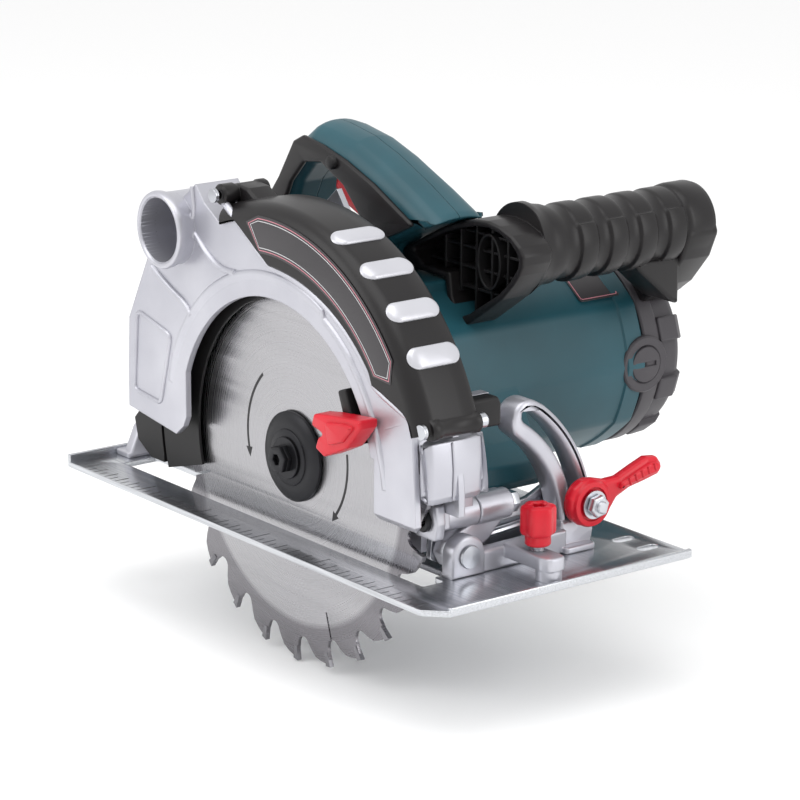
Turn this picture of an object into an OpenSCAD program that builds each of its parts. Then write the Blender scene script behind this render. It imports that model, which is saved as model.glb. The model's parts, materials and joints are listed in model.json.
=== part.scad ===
// Portable circular saw, right-hand blade, tilting and plunging on a flat sole.
// X forward (cut direction), Y left (motor side), Z up, millimetres.
// Origin: underside of the sole, at the centre of its outline.

/* [Sole] */
// Sole length along the cut
sole_l = 310; // [260:1:360]
// Sole width across the cut
sole_w = 158.3; // [150:0.1:190]
// Sole plate thickness
plate_t = 3; // [2:0.5:5]

/* [Bevel] */
// Largest bevel angle
bevel_max = 45; // [30:1:46]

/* [Blade] */
// Blade diameter over the tooth tips
blade_d = 210; // [184:1:212]
// Blade mounting bore
bore_d = 30; // [20:0.1:30]
// Number of teeth
teeth = 24; // [12:1:60]
// Blade body thickness
body_t = 1.8; // [1.2:0.1:2.2]
// Kerf width at the teeth
kerf_t = 2.6; // [2.2:0.1:3.2]

/* [Motor] */
// Outer radius of the motor housing
motor_r = 51.6; // [48:0.1:54]
// Far end of the end cap from the sole centre
motor_end = 155; // [150:1:165]
// Number of commutator bars
comm_bars = 24; // [12:2:36]

/* [Guard] */
// Radius of the window in the upper guard
window_r = 80.5; // [70:0.5:84]
// Inner diameter of the dust port
port_d = 32.5; // [28:0.1:34]

/* [Handles] */
// Radius of the front handle bar
bar_r = 18.5; // [15:0.5:20]
// Thickness of the rear handle across both shells
grip_w = 34; // [28:1:36]

/* [Gears] */
// Teeth on the armature pinion
pinion_n = 12; // [10:1:14]
// Teeth on the spindle gear
gear_n = 36; // [34:1:38]

/* [Hidden] */

$fn = 96;
hx = 11.4;
hy = -51.6;
hz = 40.3;
mx = 15.7;
mz = 70.5;
py = -31;
pz = 13;
ear_r = 8.8;
dx = 109.5;
dz = 31.5;
blade_r = blade_d / 2;
arc_r = 165;
half_w = sole_w / 2;
half_l = sole_l / 2;
gmod = 61 / (pinion_n + gear_n);
bolt_a = 11.5;
slot_end = bolt_a + bevel_max + 1;
bolt_y = py + 72 * cos(bolt_a);
bolt_z = pz + 72 * sin(bolt_a);
seam = 16;
c_sole = [0.78, 0.79, 0.81];
c_cast = [0.79, 0.79, 0.82];
c_teal = [0.23, 0.43, 0.47];
c_black = [0.13, 0.13, 0.14];
c_grey = [0.33, 0.32, 0.33];
c_red = [0.85, 0.14, 0.2];
c_steel = [0.72, 0.73, 0.75];
c_dark = [0.25, 0.25, 0.26];
c_copper = [0.72, 0.42, 0.24];
c_brass = [0.78, 0.62, 0.3];

// cylinders and plates along the three axes
module ycyl(x, z, r, y0, y1) {
    translate([x, y0, z]) rotate([-90, 0, 0]) cylinder(r = r, h = y1 - y0);
}
module xcyl(y, z, r, x0, x1) {
    translate([x0, y, z]) rotate([0, 90, 0]) cylinder(r = r, h = x1 - x0);
}
module zcyl(x, y, r, z0, z1) {
    translate([x, y, z0]) cylinder(r = r, h = z1 - z0);
}
module box(x0, x1, y0, y1, z0, z1) {
    translate([x0, y0, z0]) cube([x1 - x0, y1 - y0, z1 - z0]);
}
module xz(y0, y1) {
    translate([0, y1, 0]) rotate([90, 0, 0]) linear_extrude(y1 - y0) children();
}
module yz(x0, x1) {
    translate([x0, 0, 0]) rotate([90, 0, 90]) linear_extrude(x1 - x0) children();
}
module ring(x, z, r0, r1, y0, y1) {
    difference() {
        ycyl(x, z, r1, y0, y1);
        ycyl(x, z, r0, y0 - 1, y1 + 1);
    }
}
function polar(r, a) = [r * cos(a), r * sin(a)];
function arc(cx, cy, r, a0, a1, n) = [for (i = [0 : n]) let (a = a0 + (a1 - a0) * i / n)
    [cx + r * cos(a), cy + r * sin(a)]];
module sector(cx, cy, r, a0, a1) {
    steps = ceil(abs(a1 - a0) / 50);
    polygon(concat([[cx, cy]], arc(cx, cy, 1.6 * r, a0, a1, steps)));
}
module band(cx, cy, r0, r1, a0, a1) {
    intersection() {
        difference() {
            translate([cx, cy]) circle(r = r1);
            translate([cx, cy]) circle(r = r0);
        }
        sector(cx, cy, r1, a0, a1);
    }
}

// ---- sole and its brackets ----
module sole_plate() {
    color(c_sole) difference() {
        union() {
            linear_extrude(plate_t) polygon([[-half_l, -half_w], [half_l - 10, -half_w],
                [half_l, -half_w + 10], [half_l, half_w], [-half_l, half_w]]);
            box(-half_l, -half_l + 2.5, -half_w, half_w, 0, plate_t + 4);
            box(half_l - 2.5, half_l, -half_w + 10, half_w, 0, plate_t + 1.5);
        }
        box(-135, 111, -57.2, -36, -1, 20);
        box(110, 119, -57.2, -44.4, -1, 20);
        zcyl(120, 62.5, 3, -1, 9);
        zcyl(120, 69.5, 3, -1, 9);
        box(117, 123, 62.5, 69.5, -1, 9);
        zcyl(137, 63.5, 3, -1, 9);
        zcyl(137, 70.5, 3, -1, 9);
        box(134, 140, 63.5, 70.5, -1, 9);
        zcyl(127, -27, 2.3, -1, 9);
        zcyl(127, 36, 2.3, -1, 9);
        zcyl(92, 36, 2.3, -1, 9);
        zcyl(-149.5, -43, 2.3, -1, 9);
        zcyl(-149.5, -19, 2.3, -1, 9);
    }
}

module bevel_quadrant() {
    color(c_cast) difference() {
        union() {
            xcyl(py, pz, ear_r, 111.7, 120.7);
            box(111.7, 120.7, py - ear_r + 0.3, py + 9.8, plate_t, pz);
            box(111.7, 120.7, py, 30, plate_t, plate_t + 12);
            box(120, 133, -36, -18, plate_t, plate_t + 3);
            yz(102, 116) difference() {
                band(py, pz, 59, 81, -7, slot_end + 0.5);
                translate([-100, -100]) square([300, 100 + plate_t]);
            }
            yz(102, 116) translate([py + 70 * cos(slot_end), pz + 70 * sin(slot_end)]) circle(r = 10.7);
            box(102, 117.4, 27, 47, plate_t, plate_t + 8);
            box(117, 133, 28, 44, plate_t, plate_t + 3);
            box(86, 103, 28, 44, plate_t, plate_t + 3);
            box(116, 143.8, -9, 3, 8, plate_t + 11.8);
            zcyl(145.5, -3, 6.3, plate_t, plate_t + 11.8);
            box(140.5, 144, -9, 3, plate_t, plate_t + 11.8);
        }
        xcyl(py, pz, 4.05, 100, 130);
        yz(100, 118) {
            band(py, pz, 68.5, 75.5, bolt_a - 1.2, slot_end);
            for (a = [bolt_a - 1, slot_end - 0.2])
                translate([py + 72 * cos(a), pz + 72 * sin(a)]) circle(r = 3.45);
        }
        zcyl(136, -2, 3.05, 0, 30);
        zcyl(127, -27, 2.3, 0, 9);
        zcyl(127, 36, 2.3, 0, 9);
        zcyl(92, 36, 2.3, 0, 9);
    }
}

module rear_bevel_bracket() {
    color(c_cast) difference() {
        union() {
            yz(-146, -139) polygon([[-51, 3], [-44, 19], [-39, 24], [-31, 25], [-23, 23], [-20, 15],
                [-16, 3]]);
            box(-152.4, -139.5, -51, -10, plate_t, plate_t + 3);
        }
        xcyl(py, pz, 4.05, -150, -130);
        for (y = [-43, -19]) zcyl(-149.5, y, 2.3, 0, 9);
    }
}

module bevel_pivot_pins() {
    color(c_steel) {
        xcyl(py, pz, 4, 98.5, 121.5);
        xcyl(py, pz, 5.6, 121, 122.6);
        xcyl(py, pz, 4, -146.6, -127);
        xcyl(py, pz, 5.6, -148.2, -146.4);
    }
}

module sole_rivets() {
    color(c_steel) for (p = [[127, -27], [127, 36], [92, 36],
        [-149.5, -43], [-149.5, -19]]) {
        zcyl(p[0], p[1], 2.25, 0.3, plate_t + 3.1);
        zcyl(p[0], p[1], p[0] > 0 ? 4 : 2.7, plate_t + 3.05, plate_t + 4.6);
    }
}

module guide_knob() {
    color(c_red) difference() {
        union() {
            zcyl(136, -2, 8.2, 22, 37);
            zcyl(136, -2, 6.2, 17.5, 22.5);
        }
        zcyl(136, -2, 3.2, 17, 24);
        zcyl(136, -2, 3, 32, 38);
    }
}

module guide_screw() {
    color(c_steel) {
        zcyl(136, -2, 3, 7.9, 24);
        zcyl(136, -2, 4.6, 15.4, 17.4);
    }
}

// ---- tilting frame ----
module tilt_bracket() {
    color(c_cast) difference() {
        union() {
            xcyl(py, pz, ear_r, 102.3, 111.2);
            yz(103, 111.2) polygon([[-38, 16], [-31, 6], [-21, 12], [-1, 24], [-1, 31], [-20.7, 31],
                [-20.7, 24]]);
            ycyl(dx, dz, 6.5, -20.7, 0);
        }
        xcyl(py, pz, 4.05, 90, 130);
        ycyl(dx, dz, 3.55, -30, 10);
    }
}

module tilt_bar() {
    color(c_steel) difference() {
        union() {
            yz(98.4, 101.6) polygon([[-39.6, 8], [-31, 4.5], [-10, 5], [42, 14], [50, 20], [51, 28],
                [47, 35], [40, 37], [20, 28], [-20, 23], [-38, 20]]);
            xcyl(py, pz, 7, 98.5, 102.2);
            box(91, 101.6, 2, 26, 5.4, 8.4);
        }
        xcyl(py, pz, 4.05, 90, 130);
        xcyl(bolt_y, bolt_z, 3.05, 90, 130);
    }
}

module depth_arc() {
    color(c_steel) difference() {
        union() {
            xcyl(py, pz, 9, -138.4, -131);
            box(-138.4, -131, py, -17, 6, 20);
            box(-138.4, -48, -20, -17, 7, 20);
            xz(-20, -17) band(dx, dz, arc_r - 8.5, arc_r + 8.5, 187, 128.5);
        }
        xcyl(py, pz, 4.05, -150, -120);
        xz(-21, -16) {
            band(dx, dz, arc_r - 4.3, arc_r + 4.3, 179, 133);
            translate([dx + arc_r * cos(179), dz + arc_r * sin(179)]) circle(r = 4.3);
            translate([dx + arc_r * cos(133), dz + arc_r * sin(133)]) circle(r = 4.3);
        }
    }
}

module bevel_bolt() {
    color(c_steel) {
        xcyl(bolt_y, bolt_z, 3, 97.5, 129);
        translate([129, bolt_y, bolt_z]) rotate([0, 90, 0]) cylinder(r = 6, h = 4, $fn = 6);
        xcyl(bolt_y, bolt_z, 5.5, 95, 97.9);
    }
}

module bevel_washers() {
    color(c_steel) difference() {
        union() {
            xcyl(bolt_y, bolt_z, 8, 116.3, 117.5);
            xcyl(bolt_y, bolt_z, 7, 127.8, 128.8);
        }
        xcyl(bolt_y, bolt_z, 3.05, 100, 140);
    }
}

module bevel_lever() {
    color(c_red) difference() {
        union() {
            xcyl(bolt_y, bolt_z, 11, 118, 127.5);
            translate([0, bolt_y, bolt_z]) rotate([17, 0, 0]) {
                box(120, 127, 0, 30, -5.5, 5.5);
                box(122, 130, 22, 44, -4.5, 4.5);
                xcyl(44, 0, 4.5, 122, 130);
            }
        }
        xcyl(bolt_y, bolt_z, 3.05, 100, 140);
    }
}

module depth_hinge_bolt() {
    color(c_steel) {
        difference() {
            union() {
                ycyl(dx, dz, 3.5, -45, 4);
                ycyl(dx, dz, 6, -48.5, -44);
            }
            translate([dx, -49.5, dz]) rotate([-90, 0, 0]) cylinder(r = 2.9, h = 3.6, $fn = 6);
        }
        translate([dx, 0.3, dz]) rotate([-90, 0, 0]) cylinder(r = 5.6, h = 4.7, $fn = 6);
    }
}

// ---- upper guard ----
module guard_outline() {
    polygon([[-116, 40], [-116, 60], [-114.6, 87], [-96.5, 122], [-80, 145], [-53.5, 166],
        [-46, 158], [-33, 150.2], [-10, 100], [100, 76], [121.3, 84.7], [121, 71], [123, 48],
        [124, 34], [119.5, 29.5], [92.5, 30], [60, 60], [-40, 60], [-64, 45], [-66.7, 39.6],
        [-73, 34.4]]);
    intersection() {
        circle_at(hx, hz, 118.5);
        sector(hx, hz, 118.5, 22, 112);
    }
}

module upper_guard() {
    color(c_cast) difference() {
        union() {
            xz(-65.5, -62) guard_outline();
            xz(-62.1, -40) difference() {
                guard_outline();
                circle_at(hx, hz, 114.5);
                translate([-60, 20]) square([140, 60]);
                translate([-112, 45]) square([30, 40]);
            }
            xz(-43.5, -40) difference() {
                circle_at(hx, hz, 117);
                translate([-150, -150]) square([400, 162]);
            }
            ycyl(-72, 141, 18.2, -75, -38);
            xz(-62, -25) polygon([[100, 68], [112, 68], [116, 47], [122, 47], [126, 52], [120.4, 82],
                [114, 88], [100, 88]]);
            box(100, 106, -25.1, -8.5, 70, 86);
            box(dx - 7, dx + 6, -42, -25, dz, 50);
            ycyl(dx, dz, 6.5, -42, -21);
            ycyl(hx, hz, 20.9, -46.5, -40);
            ycyl(dx - arc_r * cos(2), dz + arc_r * sin(2), 8.4, -41, -20.4);
        }
        xz(-70, -61.9) intersection() {
            circle_at(hx, hz, window_r);
            translate([-64, -60]) square([156, 300]);
        }
        xz(-66, -61.9) polygon([[-64, 0], [92, 0], [92, 60], [-64, 60]]);
        xz(-62.2, -43.4) circle_at(hx, hz, 114.5);
        ycyl(-72, 141, port_d / 2, -80, -42);
        translate([-72, -53, 141]) rotate([0, 45, 0]) translate([0, -8, -12]) cube([40, 16, 24]);
        ycyl(dx, dz, 3.55, -60, 0);
        box(60, 118, -66, -43.6, -20, 28);
        box(100, 130, -44, -39, 0, 27.5);
        box(117, 130, -44, -39, 0, 36);
        box(106, 125, -30.3, -24, 73.2, 95);
        xcyl(-14.5, 78, 3.3, 90, 110);
        ycyl(hx, hz, 14.05, -42.5, -30);
        ycyl(hx, hz, 9, -60, -30);
        ycyl(dx - arc_r * cos(2), dz + arc_r * sin(2), 3.05, -36, -10);
        translate([0, -65.5, 33.6]) rotate([-45, 0, 0]) translate([-200, -20, -20]) cube([400, 40, 20]);
    }
}
module circle_at(x, z, r) {
    translate([x, z]) circle(r = r);
}

module guard_cover() {
    color(c_black) difference() {
        union() {
            xz(-67.8, -33) band(hx, hz, 119, 126.5, 110, 19);
            xz(-67.8, -65.8) difference() {
                intersection() {
                    circle_at(hx, hz, 122);
                    polygon([[-34, 168], [-6, 148], [8, 130], [85, 98], [105, 90], [122, 83],
                        [160, 120], [80, 210], [-30, 210]]);
                }
                circle_at(hx, hz, 96);
            }
            ycyl(-30, 164, 5, -67.5, -40);
            ycyl(128, 81, 4.8, -62, -28);
            xz(-60, -30) polygon([[118, 92], [124, 90], [131, 83], [128, 77.5], [121.8, 81]]);
        }
        ycyl(128, 81, 2.1, -70, -20);
        ycyl(128, 81, 4.9, -70, -61.95);
        ycyl(-30, 164, 2.1, -70, -30);
        xz(-66, -20) circle_at(hx, hz, 119);
    }
}

module cover_label() {
    color(c_dark) xz(-68.4, -67.85) band(hx, hz, 101, 118, 98, 32);
}

module cover_ovals() {
    color(c_sole) for (a = [68.5, 57, 45.5, 34.5]) {
        translate([hx, 0, hz]) rotate([0, -a, 0]) translate([126.6, -47.5, 0]) rotate([0, 90, 0])
            scale([1, 1, 1]) union() {
                translate([0, -8, 0]) cylinder(r = 5, h = 1.4);
                translate([0, 8, 0]) cylinder(r = 5, h = 1.4);
                translate([-5, -8, 0]) cube([10, 16, 1.4]);
            }
    }
}

module cover_screws() {
    color(c_steel) {
        ycyl(128, 81, 2, -62, -24);
        ycyl(128, 81, 3.6, -64.5, -62.1);
        ycyl(-30, 164, 2, -66, -36);
        ycyl(-30, 164, 3.6, -70, -67.9);
    }
}

module guard_bumper() {
    color(c_black) xz(-56.4, -46) difference() {
        polygon([[-125, 30], [-122, 19], [-110, 12], [-98, 12], [-98, 37.2], [-116, 39.4]]);
        circle_at(hx, hz, 112);
    }
}

// ---- gear case and spindle ----
module gear_case() {
    color(c_cast) difference() {
        union() {
            ycyl(mx, mz, 50, -39.7, -6.5);
            ycyl(hx, hz, 31, -39.7, -6.5);
            box(hx - 31, hx + 31, -39.7, -6.5, hz, mz);
        }
        ycyl(mx, mz, 46, -32.8, -10);
        ycyl(hx, hz, 27, -32.8, -10);
        ycyl(hx, hz, 14.05, -45, -30);
        ycyl(mx, mz, 13.05, -12, 0);
        ycyl(mx, mz, 8.05, -38, -30);
    }
    color(c_cast) ring(hx, hz, 11.05, 14.5, -16, -9.9);
}

module spindle_bearings() {
    color(c_steel) {
        ring(hx, hz, 7.52, 14, -41, -33.5);
        ring(hx, hz, 6.02, 11, -16, -10.4);
    }
}

module spindle() {
    color(c_steel) {
        difference() {
            ycyl(hx, hz, 7.5, -56.8, -20.5);
            ycyl(hx, hz, 3.1, -57, -40);
        }
        ycyl(hx, hz, 6, -21, -10.6);
    }
}

// involute gear outline, tooth centred on +X
function inv_pt(rb, t) = [rb * (cos(t) + t * PI / 180 * sin(t)), rb * (sin(t) - t * PI / 180 * cos(t))];
function rot2(p, a) = [p[0] * cos(a) - p[1] * sin(a), p[0] * sin(a) + p[1] * cos(a)];
function inv_at(rb, r) = sqrt(max(0, r * r / rb / rb - 1)) * 180 / PI;
function gear_pts(n, m, add, ded, play) = let (rp = m * n / 2, rb = rp * cos(22), ro = rp + add,
    rr = rp - ded, tp = inv_at(rb, rp), half = 90 / n - play / rp * 180 / PI - 0,
    off = half + (tp - atan2(inv_pt(rb, tp)[1], inv_pt(rb, tp)[0])) * 0
        + atan2(inv_pt(rb, tp)[1], inv_pt(rb, tp)[0]), to = inv_at(rb, ro))
    [for (k = [0 : n - 1]) let (c = 360 * k / n)
        each concat([rot2([rr, 0], c - off - 1)],
            [for (i = [0 : 4]) rot2(inv_pt(rb, to * i / 4), c - off)],
            [for (i = [4 : -1 : 0]) let (q = inv_pt(rb, to * i / 4)) rot2([q[0], -q[1]], c + off)],
            [rot2([rr, 0], c + off + 1)])];

mesh_a = atan2(mz - hz, mx - hx);
module drive_gear() {
    color(c_steel) difference() {
        xz(-32, -22.5) translate([hx, hz]) rotate(mesh_a) polygon(gear_pts(gear_n, gmod, 0.95, 1.4, 0.12));
        ycyl(hx, hz, 7.5, -40, -10);
    }
}

module pinion() {
    color(c_steel) difference() {
        xz(-32.3, -22) translate([mx, mz]) rotate(mesh_a + 180 + 180 / pinion_n)
            polygon(gear_pts(pinion_n, gmod, 0.95, 1.4, 0.12));
        ycyl(mx, mz, 4, -40, -10);
    }
}

module inner_flange() {
    color(c_steel) difference() {
        union() {
            ycyl(hx, hz, 22.5, -50.6, -47);
            ycyl(hx, hz, bore_d / 2 - 0.1, -52, -50.5);
        }
        ycyl(hx, hz, 7.52, -60, -40);
    }
}

module blade() {
    color(c_steel) difference() {
        union() {
            xz(hy - body_t / 2, hy + body_t / 2) translate([hx, hz]) for (i = [0]) polygon(
                [for (k = [0 : teeth - 1]) let (a = -73.94 + 360 * k / teeth, q = 24 / teeth)
                    each [polar(blade_r - 0.3, a - 0.3 * q), polar(blade_r - 8, a - 1 * q),
                        polar(blade_r - 12.5, a + 1 * q), polar(blade_r - 13.5, a + 3 * q),
                        polar(blade_r - 11, a + 5.5 * q), polar(blade_r - 5, a + 7.5 * q),
                        polar(blade_r - 2.5, a + 9.5 * q)]]);
            for (k = [0 : teeth - 1]) xz(hy - kerf_t / 2, hy + kerf_t / 2) translate([hx, hz])
                rotate(-73.94 + 360 * k / teeth) polygon([[blade_r, 0], [blade_r - 7.5, -0.9],
                    [blade_r - 7, -2.9], [blade_r - 0.6, -3.2]]);
        }
        xz(-60, -40) circle_at(hx, hz, bore_d / 2);
        for (k = [0 : 3]) xz(-60, -40) translate([hx, hz]) rotate(-73.94 + 3 + 90 * k)
            translate([blade_r - 27, -0.6]) square([20, 1.2]);
    }
}

module outer_flange() {
    color(c_dark) difference() {
        union() {
            ycyl(hx, hz, 22.5, -56.4, -52.6);
            ycyl(hx, hz, 14, -57.4, -56.3);
        }
        ycyl(hx, hz, 7.55, -57, -50);
        ycyl(hx, hz, 3.1, -60, -50);
    }
}

module blade_bolt() {
    color(c_dark) difference() {
        union() {
            ycyl(hx, hz, 10.5, -59, -57.45);
            translate([hx, -64, hz]) rotate([-90, 0, 0]) cylinder(r = 7.2, h = 5.2, $fn = 6);
            ycyl(hx, hz, 3, -59, -42);
        }
        translate([hx, -65, hz]) rotate([-90, 0, 0]) cylinder(r = 3, h = 4, $fn = 6);
    }
}

// ---- lower guard ----
g_in = 107.6;
g_out = 110.4;
g_a0 = 28;
g_a1 = 196;
module lower_guard() {
    color(c_black) difference() {
        union() {
            xz(-56, -54.6) band(hx, hz, 78.4, g_out, g_a0, g_a1);
            xz(-56, -44.2) band(hx, hz, g_in, g_out, g_a0, g_a1);
            xz(-45.6, -44.2) intersection() {
                circle_at(hx, hz, g_out);
                sector(hx, hz, g_out, g_a0, g_a1);
            }
            ycyl(hx, hz, 28, -45.6, -44.2);
        }
        ycyl(hx, hz, 20.96, -60, -40);
    }
}

module guard_clip() {
    color(c_steel) ring(hx, hz, 20.95, 23.4, -46.4, -45.8);
}

module guard_lever() {
    a = 22;
    color(c_red) difference() {
        translate([hx, 0, hz]) rotate([0, -a, 0]) union() {
            box(62, 84, -78, -66.2, -6, -1.5);
            box(62, 84, -78, -66.2, 1.5, 6);
            box(70, 91, -70, -66.2, -6, 6);
            box(82, 91, -76, -66.2, -4, 4);
        }
        ycyl(hx, hz, 40, -80, -60);
    }
}

module guard_lever_arm() {
    color(c_black) translate([hx, 0, hz]) rotate([0, -22, 0]) box(77.6, 79.6, -66.15, -52.6, -4, 4);
    color(c_black) translate([hx, 0, hz]) rotate([0, -22, 0]) box(77.6, 84, -54.4, -52.6, -4, 10);
}

// ---- motor ----
module motor_housing() {
    color(c_teal) difference() {
        union() {
            ycyl(mx, mz, motor_r, -6, 124.8);
            box(mx - 20, mx + 20, -6, 60, mz, mz + motor_r + 1);
            xz(-4, 42) polygon([[40, 27], [88, 27], [88, 40], [78, 50], [40, 60]]);
        }
        ycyl(mx, mz, motor_r - 3.2, -2.6, 126);
        ycyl(mx, mz, 13.05, -10, 5);
        box(62, 84, 0, 38, 24, 40);
        for (i = [0 : 5]) ycyl(mx + 30 * cos(60 * i), mz + 30 * sin(60 * i), 6, -10, 2);
        xcyl(124.8, mz, 12.6, mx, mx + 80);
        xcyl(124.8, mz, 12.6, mx - 80, mx);
    }
}

module end_cap() {
    color(c_grey) difference() {
        union() {
            ycyl(mx, mz, motor_r, 125.2, 140);
            translate([mx, 139.9, mz]) rotate([-90, 0, 0])
                cylinder(r1 = motor_r, r2 = 45, h = motor_end - 139.9);
        }
        ycyl(mx, mz, motor_r - 3.2, 120, 139);
        ycyl(mx, mz, 40, 138, motor_end - 3);
        ycyl(mx, mz, 6, 130, motor_end + 2);
        for (i = [0 : 11]) translate([mx, 0, mz]) rotate([0, 30 * i + 15, 0])
            box(16, 34, motor_end - 4, motor_end + 1, -1.6, 1.6);
        xcyl(124.8, mz, 12.6, mx, mx + 80);
        xcyl(124.8, mz, 12.6, mx - 80, mx);
    }
    color(c_grey) ring(mx, mz, 11.02, 13.5, 140, motor_end - 2.9);
}

module stator() {
    color(c_dark) difference() {
        union() {
            ycyl(mx, mz, 46.5, 30, 92);
            ring(mx, mz, 33, 43, 24, 98);
        }
        ycyl(mx, mz, 29, 20, 110);
    }
}

module armature_shaft() {
    color(c_steel) {
        ycyl(mx, mz, 4, -36, -12);
        ycyl(mx, mz, 5, -12.1, 140);
        ycyl(mx, mz, 4, 139.9, 150);
    }
}

module armature_core() {
    color(c_dark) difference() {
        ycyl(mx, mz, 27.8, 32, 90);
        ycyl(mx, mz, 5, 20, 110);
        for (i = [0 : 11]) translate([mx, 0, mz]) rotate([0, 30 * i, 0]) box(20, 30, 20, 100, -1.5, 1.5);
    }
}

module armature_windings() {
    color(c_copper) {
        ring(mx, mz, 7, 24, 22, 31.8);
        ring(mx, mz, 7, 24, 90.2, 104);
    }
}

module commutator() {
    color(c_copper) difference() {
        ycyl(mx, mz, 15, 112, 136);
        ycyl(mx, mz, 5, 100, 150);
        for (i = [0 : comm_bars - 1]) translate([mx, 0, mz]) rotate([0, 360 / comm_bars * i, 0])
            box(14.4, 16, 110, 140, -0.3, 0.3);
    }
}

module cooling_fan() {
    color(c_black) difference() {
        union() {
            ycyl(mx, mz, 44, 3, 5);
            ycyl(mx, mz, 10, 3, 16);
            for (i = [0 : 8]) translate([mx, 0, mz]) rotate([0, 40 * i, 0]) box(9, 43, 4.9, 15, -0.8, 0.8);
        }
        ycyl(mx, mz, 5, 0, 20);
    }
}

module armature_bearings() {
    color(c_steel) {
        ring(mx, mz, 5.02, 13, -9.5, -1);
        ring(mx, mz, 4.02, 11, 141, 149);
    }
}

module brush_holders() {
    color(c_brass) for (s = [-1, 1]) difference() {
        translate([mx + s * 31, 124.8, mz]) translate([-14.5, -5.5, -5.5]) cube([29, 11, 11]);
        translate([mx + s * 31, 124.8, mz]) translate([-16, -3.6, -3.6]) cube([32, 7.2, 7.2]);
    }
}

module carbon_brushes() {
    color(c_dark) for (s = [-1, 1])
        translate([mx + s * 24.6, 124.8, mz]) translate([-9, -3.3, -3.3]) cube([18, 6.6, 6.6]);
}

module brush_caps() {
    color(c_grey) for (s = [-1, 1]) difference() {
        translate([mx + s * 49.5, 124.8, mz]) rotate([0, 90, 0]) translate([0, 0, -3.2])
            cylinder(r = 12.2, h = 6.4);
        translate([mx + s * 54, 124.8, mz]) translate([-2, -8, -1]) cube([4, 16, 2]);
    }
}

module housing_screws() {
    color(c_steel) for (a = [45, 135, 225, 315])
        ycyl(mx + 47 * cos(a) * 0.88, mz + 47 * sin(a) * 0.88, 2, 99, 136);
}

// ---- handles ----
module handle_profile() {
    difference() {
        polygon([[-47, 191], [-36, 190.5], [-15, 187], [5, 180.4], [30, 169.8], [50, 159.6],
            [52, 157], [35, 149.9], [3, 135], [3, 110],
            [-20, 90], [-34, 78], [-60, 78], [-90, 86], [-104, 98], [-104, 118], [-88, 142], [-72, 161],
            [-58, 182], [-53, 188]]);
        polygon([[-1, 148], [-17, 163], [-35, 171.5], [-48, 169.5], [-59, 158], [-70, 136], [-79, 113],
            [-68, 104], [-38, 104], [-16, 116], [-4, 128]]);
        translate([mx, mz]) circle(r = motor_r + 1.3);
        translate([mx - 20.3, mz]) square([40.6, motor_r + 1.3]);
    }
}
module handle_cavity() {
    polygon([[-40, 176], [-17, 168], [1, 157.5], [5, 165], [-13, 174.6], [-37, 183]]);
    polygon([[-62, 100], [-40, 100], [-36, 84], [-60, 84]]);
}
grip_pts = [[-88, 116], [-76, 93], [-52, 178], [24, 158]];
module trigger_slot() {
    polygon([[-42, 168], [-36, 176.2], [-17, 169], [2, 157.4], [1.5, 150], [-3, 143]]);
}
module handle_shell_right() {
    color(c_teal) difference() {
        xz(seam - grip_w / 2, seam - 0.15) handle_profile();
        xz(seam - grip_w / 2 + 3.5, seam + 1) handle_cavity();
        for (p = grip_pts) ycyl(p[0], p[1], 2, -10, 40);
        ycyl(-24, 174.4, 3.7, -10, 10);
        xz(seam - 7.5, seam + 1) trigger_slot();
        translate([-100, seam, 104]) rotate([0, -90, 0]) cylinder(r = 9.3, h = 30);
    }
}
module handle_shell_left() {
    color(c_teal) difference() {
        xz(seam + 0.15, seam + grip_w / 2) handle_profile();
        xz(seam - 1, seam + grip_w / 2 - 3.5) handle_cavity();
        for (p = grip_pts) ycyl(p[0], p[1], 2, -10, 30);
        xz(seam - 1, seam + 7.5) trigger_slot();
        translate([-100, seam, 104]) rotate([0, -90, 0]) cylinder(r = 9.3, h = 30);
    }
}
module handle_grip() {
    color(c_black) difference() {
        xz(seam - grip_w / 2 - 1.8, seam - grip_w / 2 - 0.05) grip_panel();
        ycyl(-24, 174.4, 3.7, -10, 10);
    }
}
module grip_panel() {
    polygon([[-50, 183.5], [-24, 179.3], [7, 170.7], [40, 155], [34, 150.6], [4, 137.5], [0.6, 148],
        [-16.4, 164.4], [-35, 173], [-48.8, 171], [-60.4, 158.8], [-71.5, 136.6], [-81, 114], [-100, 114],
        [-85, 141], [-70, 159.5], [-57, 179]]);
}
module trigger() {
    color(c_red) xz(seam - 7, seam + 7) polygon([[-38, 167], [-20, 161], [-4, 150], [-3, 146.5],
        [-12, 147.5], [-22, 152], [-33, 158.5]]);
}
module lock_off_button() {
    color(c_black) ycyl(-24, 174.4, 3.5, seam - grip_w / 2 - 4.8, seam - 10.6);
}
module switch_module() {
    color(c_dark) xz(seam - 7.5, seam + 7.5) polygon([[-37.5, 177.6], [-17, 170.2], [-2, 161],
        [0.5, 165], [-14, 173.2], [-36, 181]]);
}
module handle_screws() {
    color(c_steel) for (p = grip_pts) {
        ycyl(p[0], p[1], 1.95, 0, seam + 10);
    }
}

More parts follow.
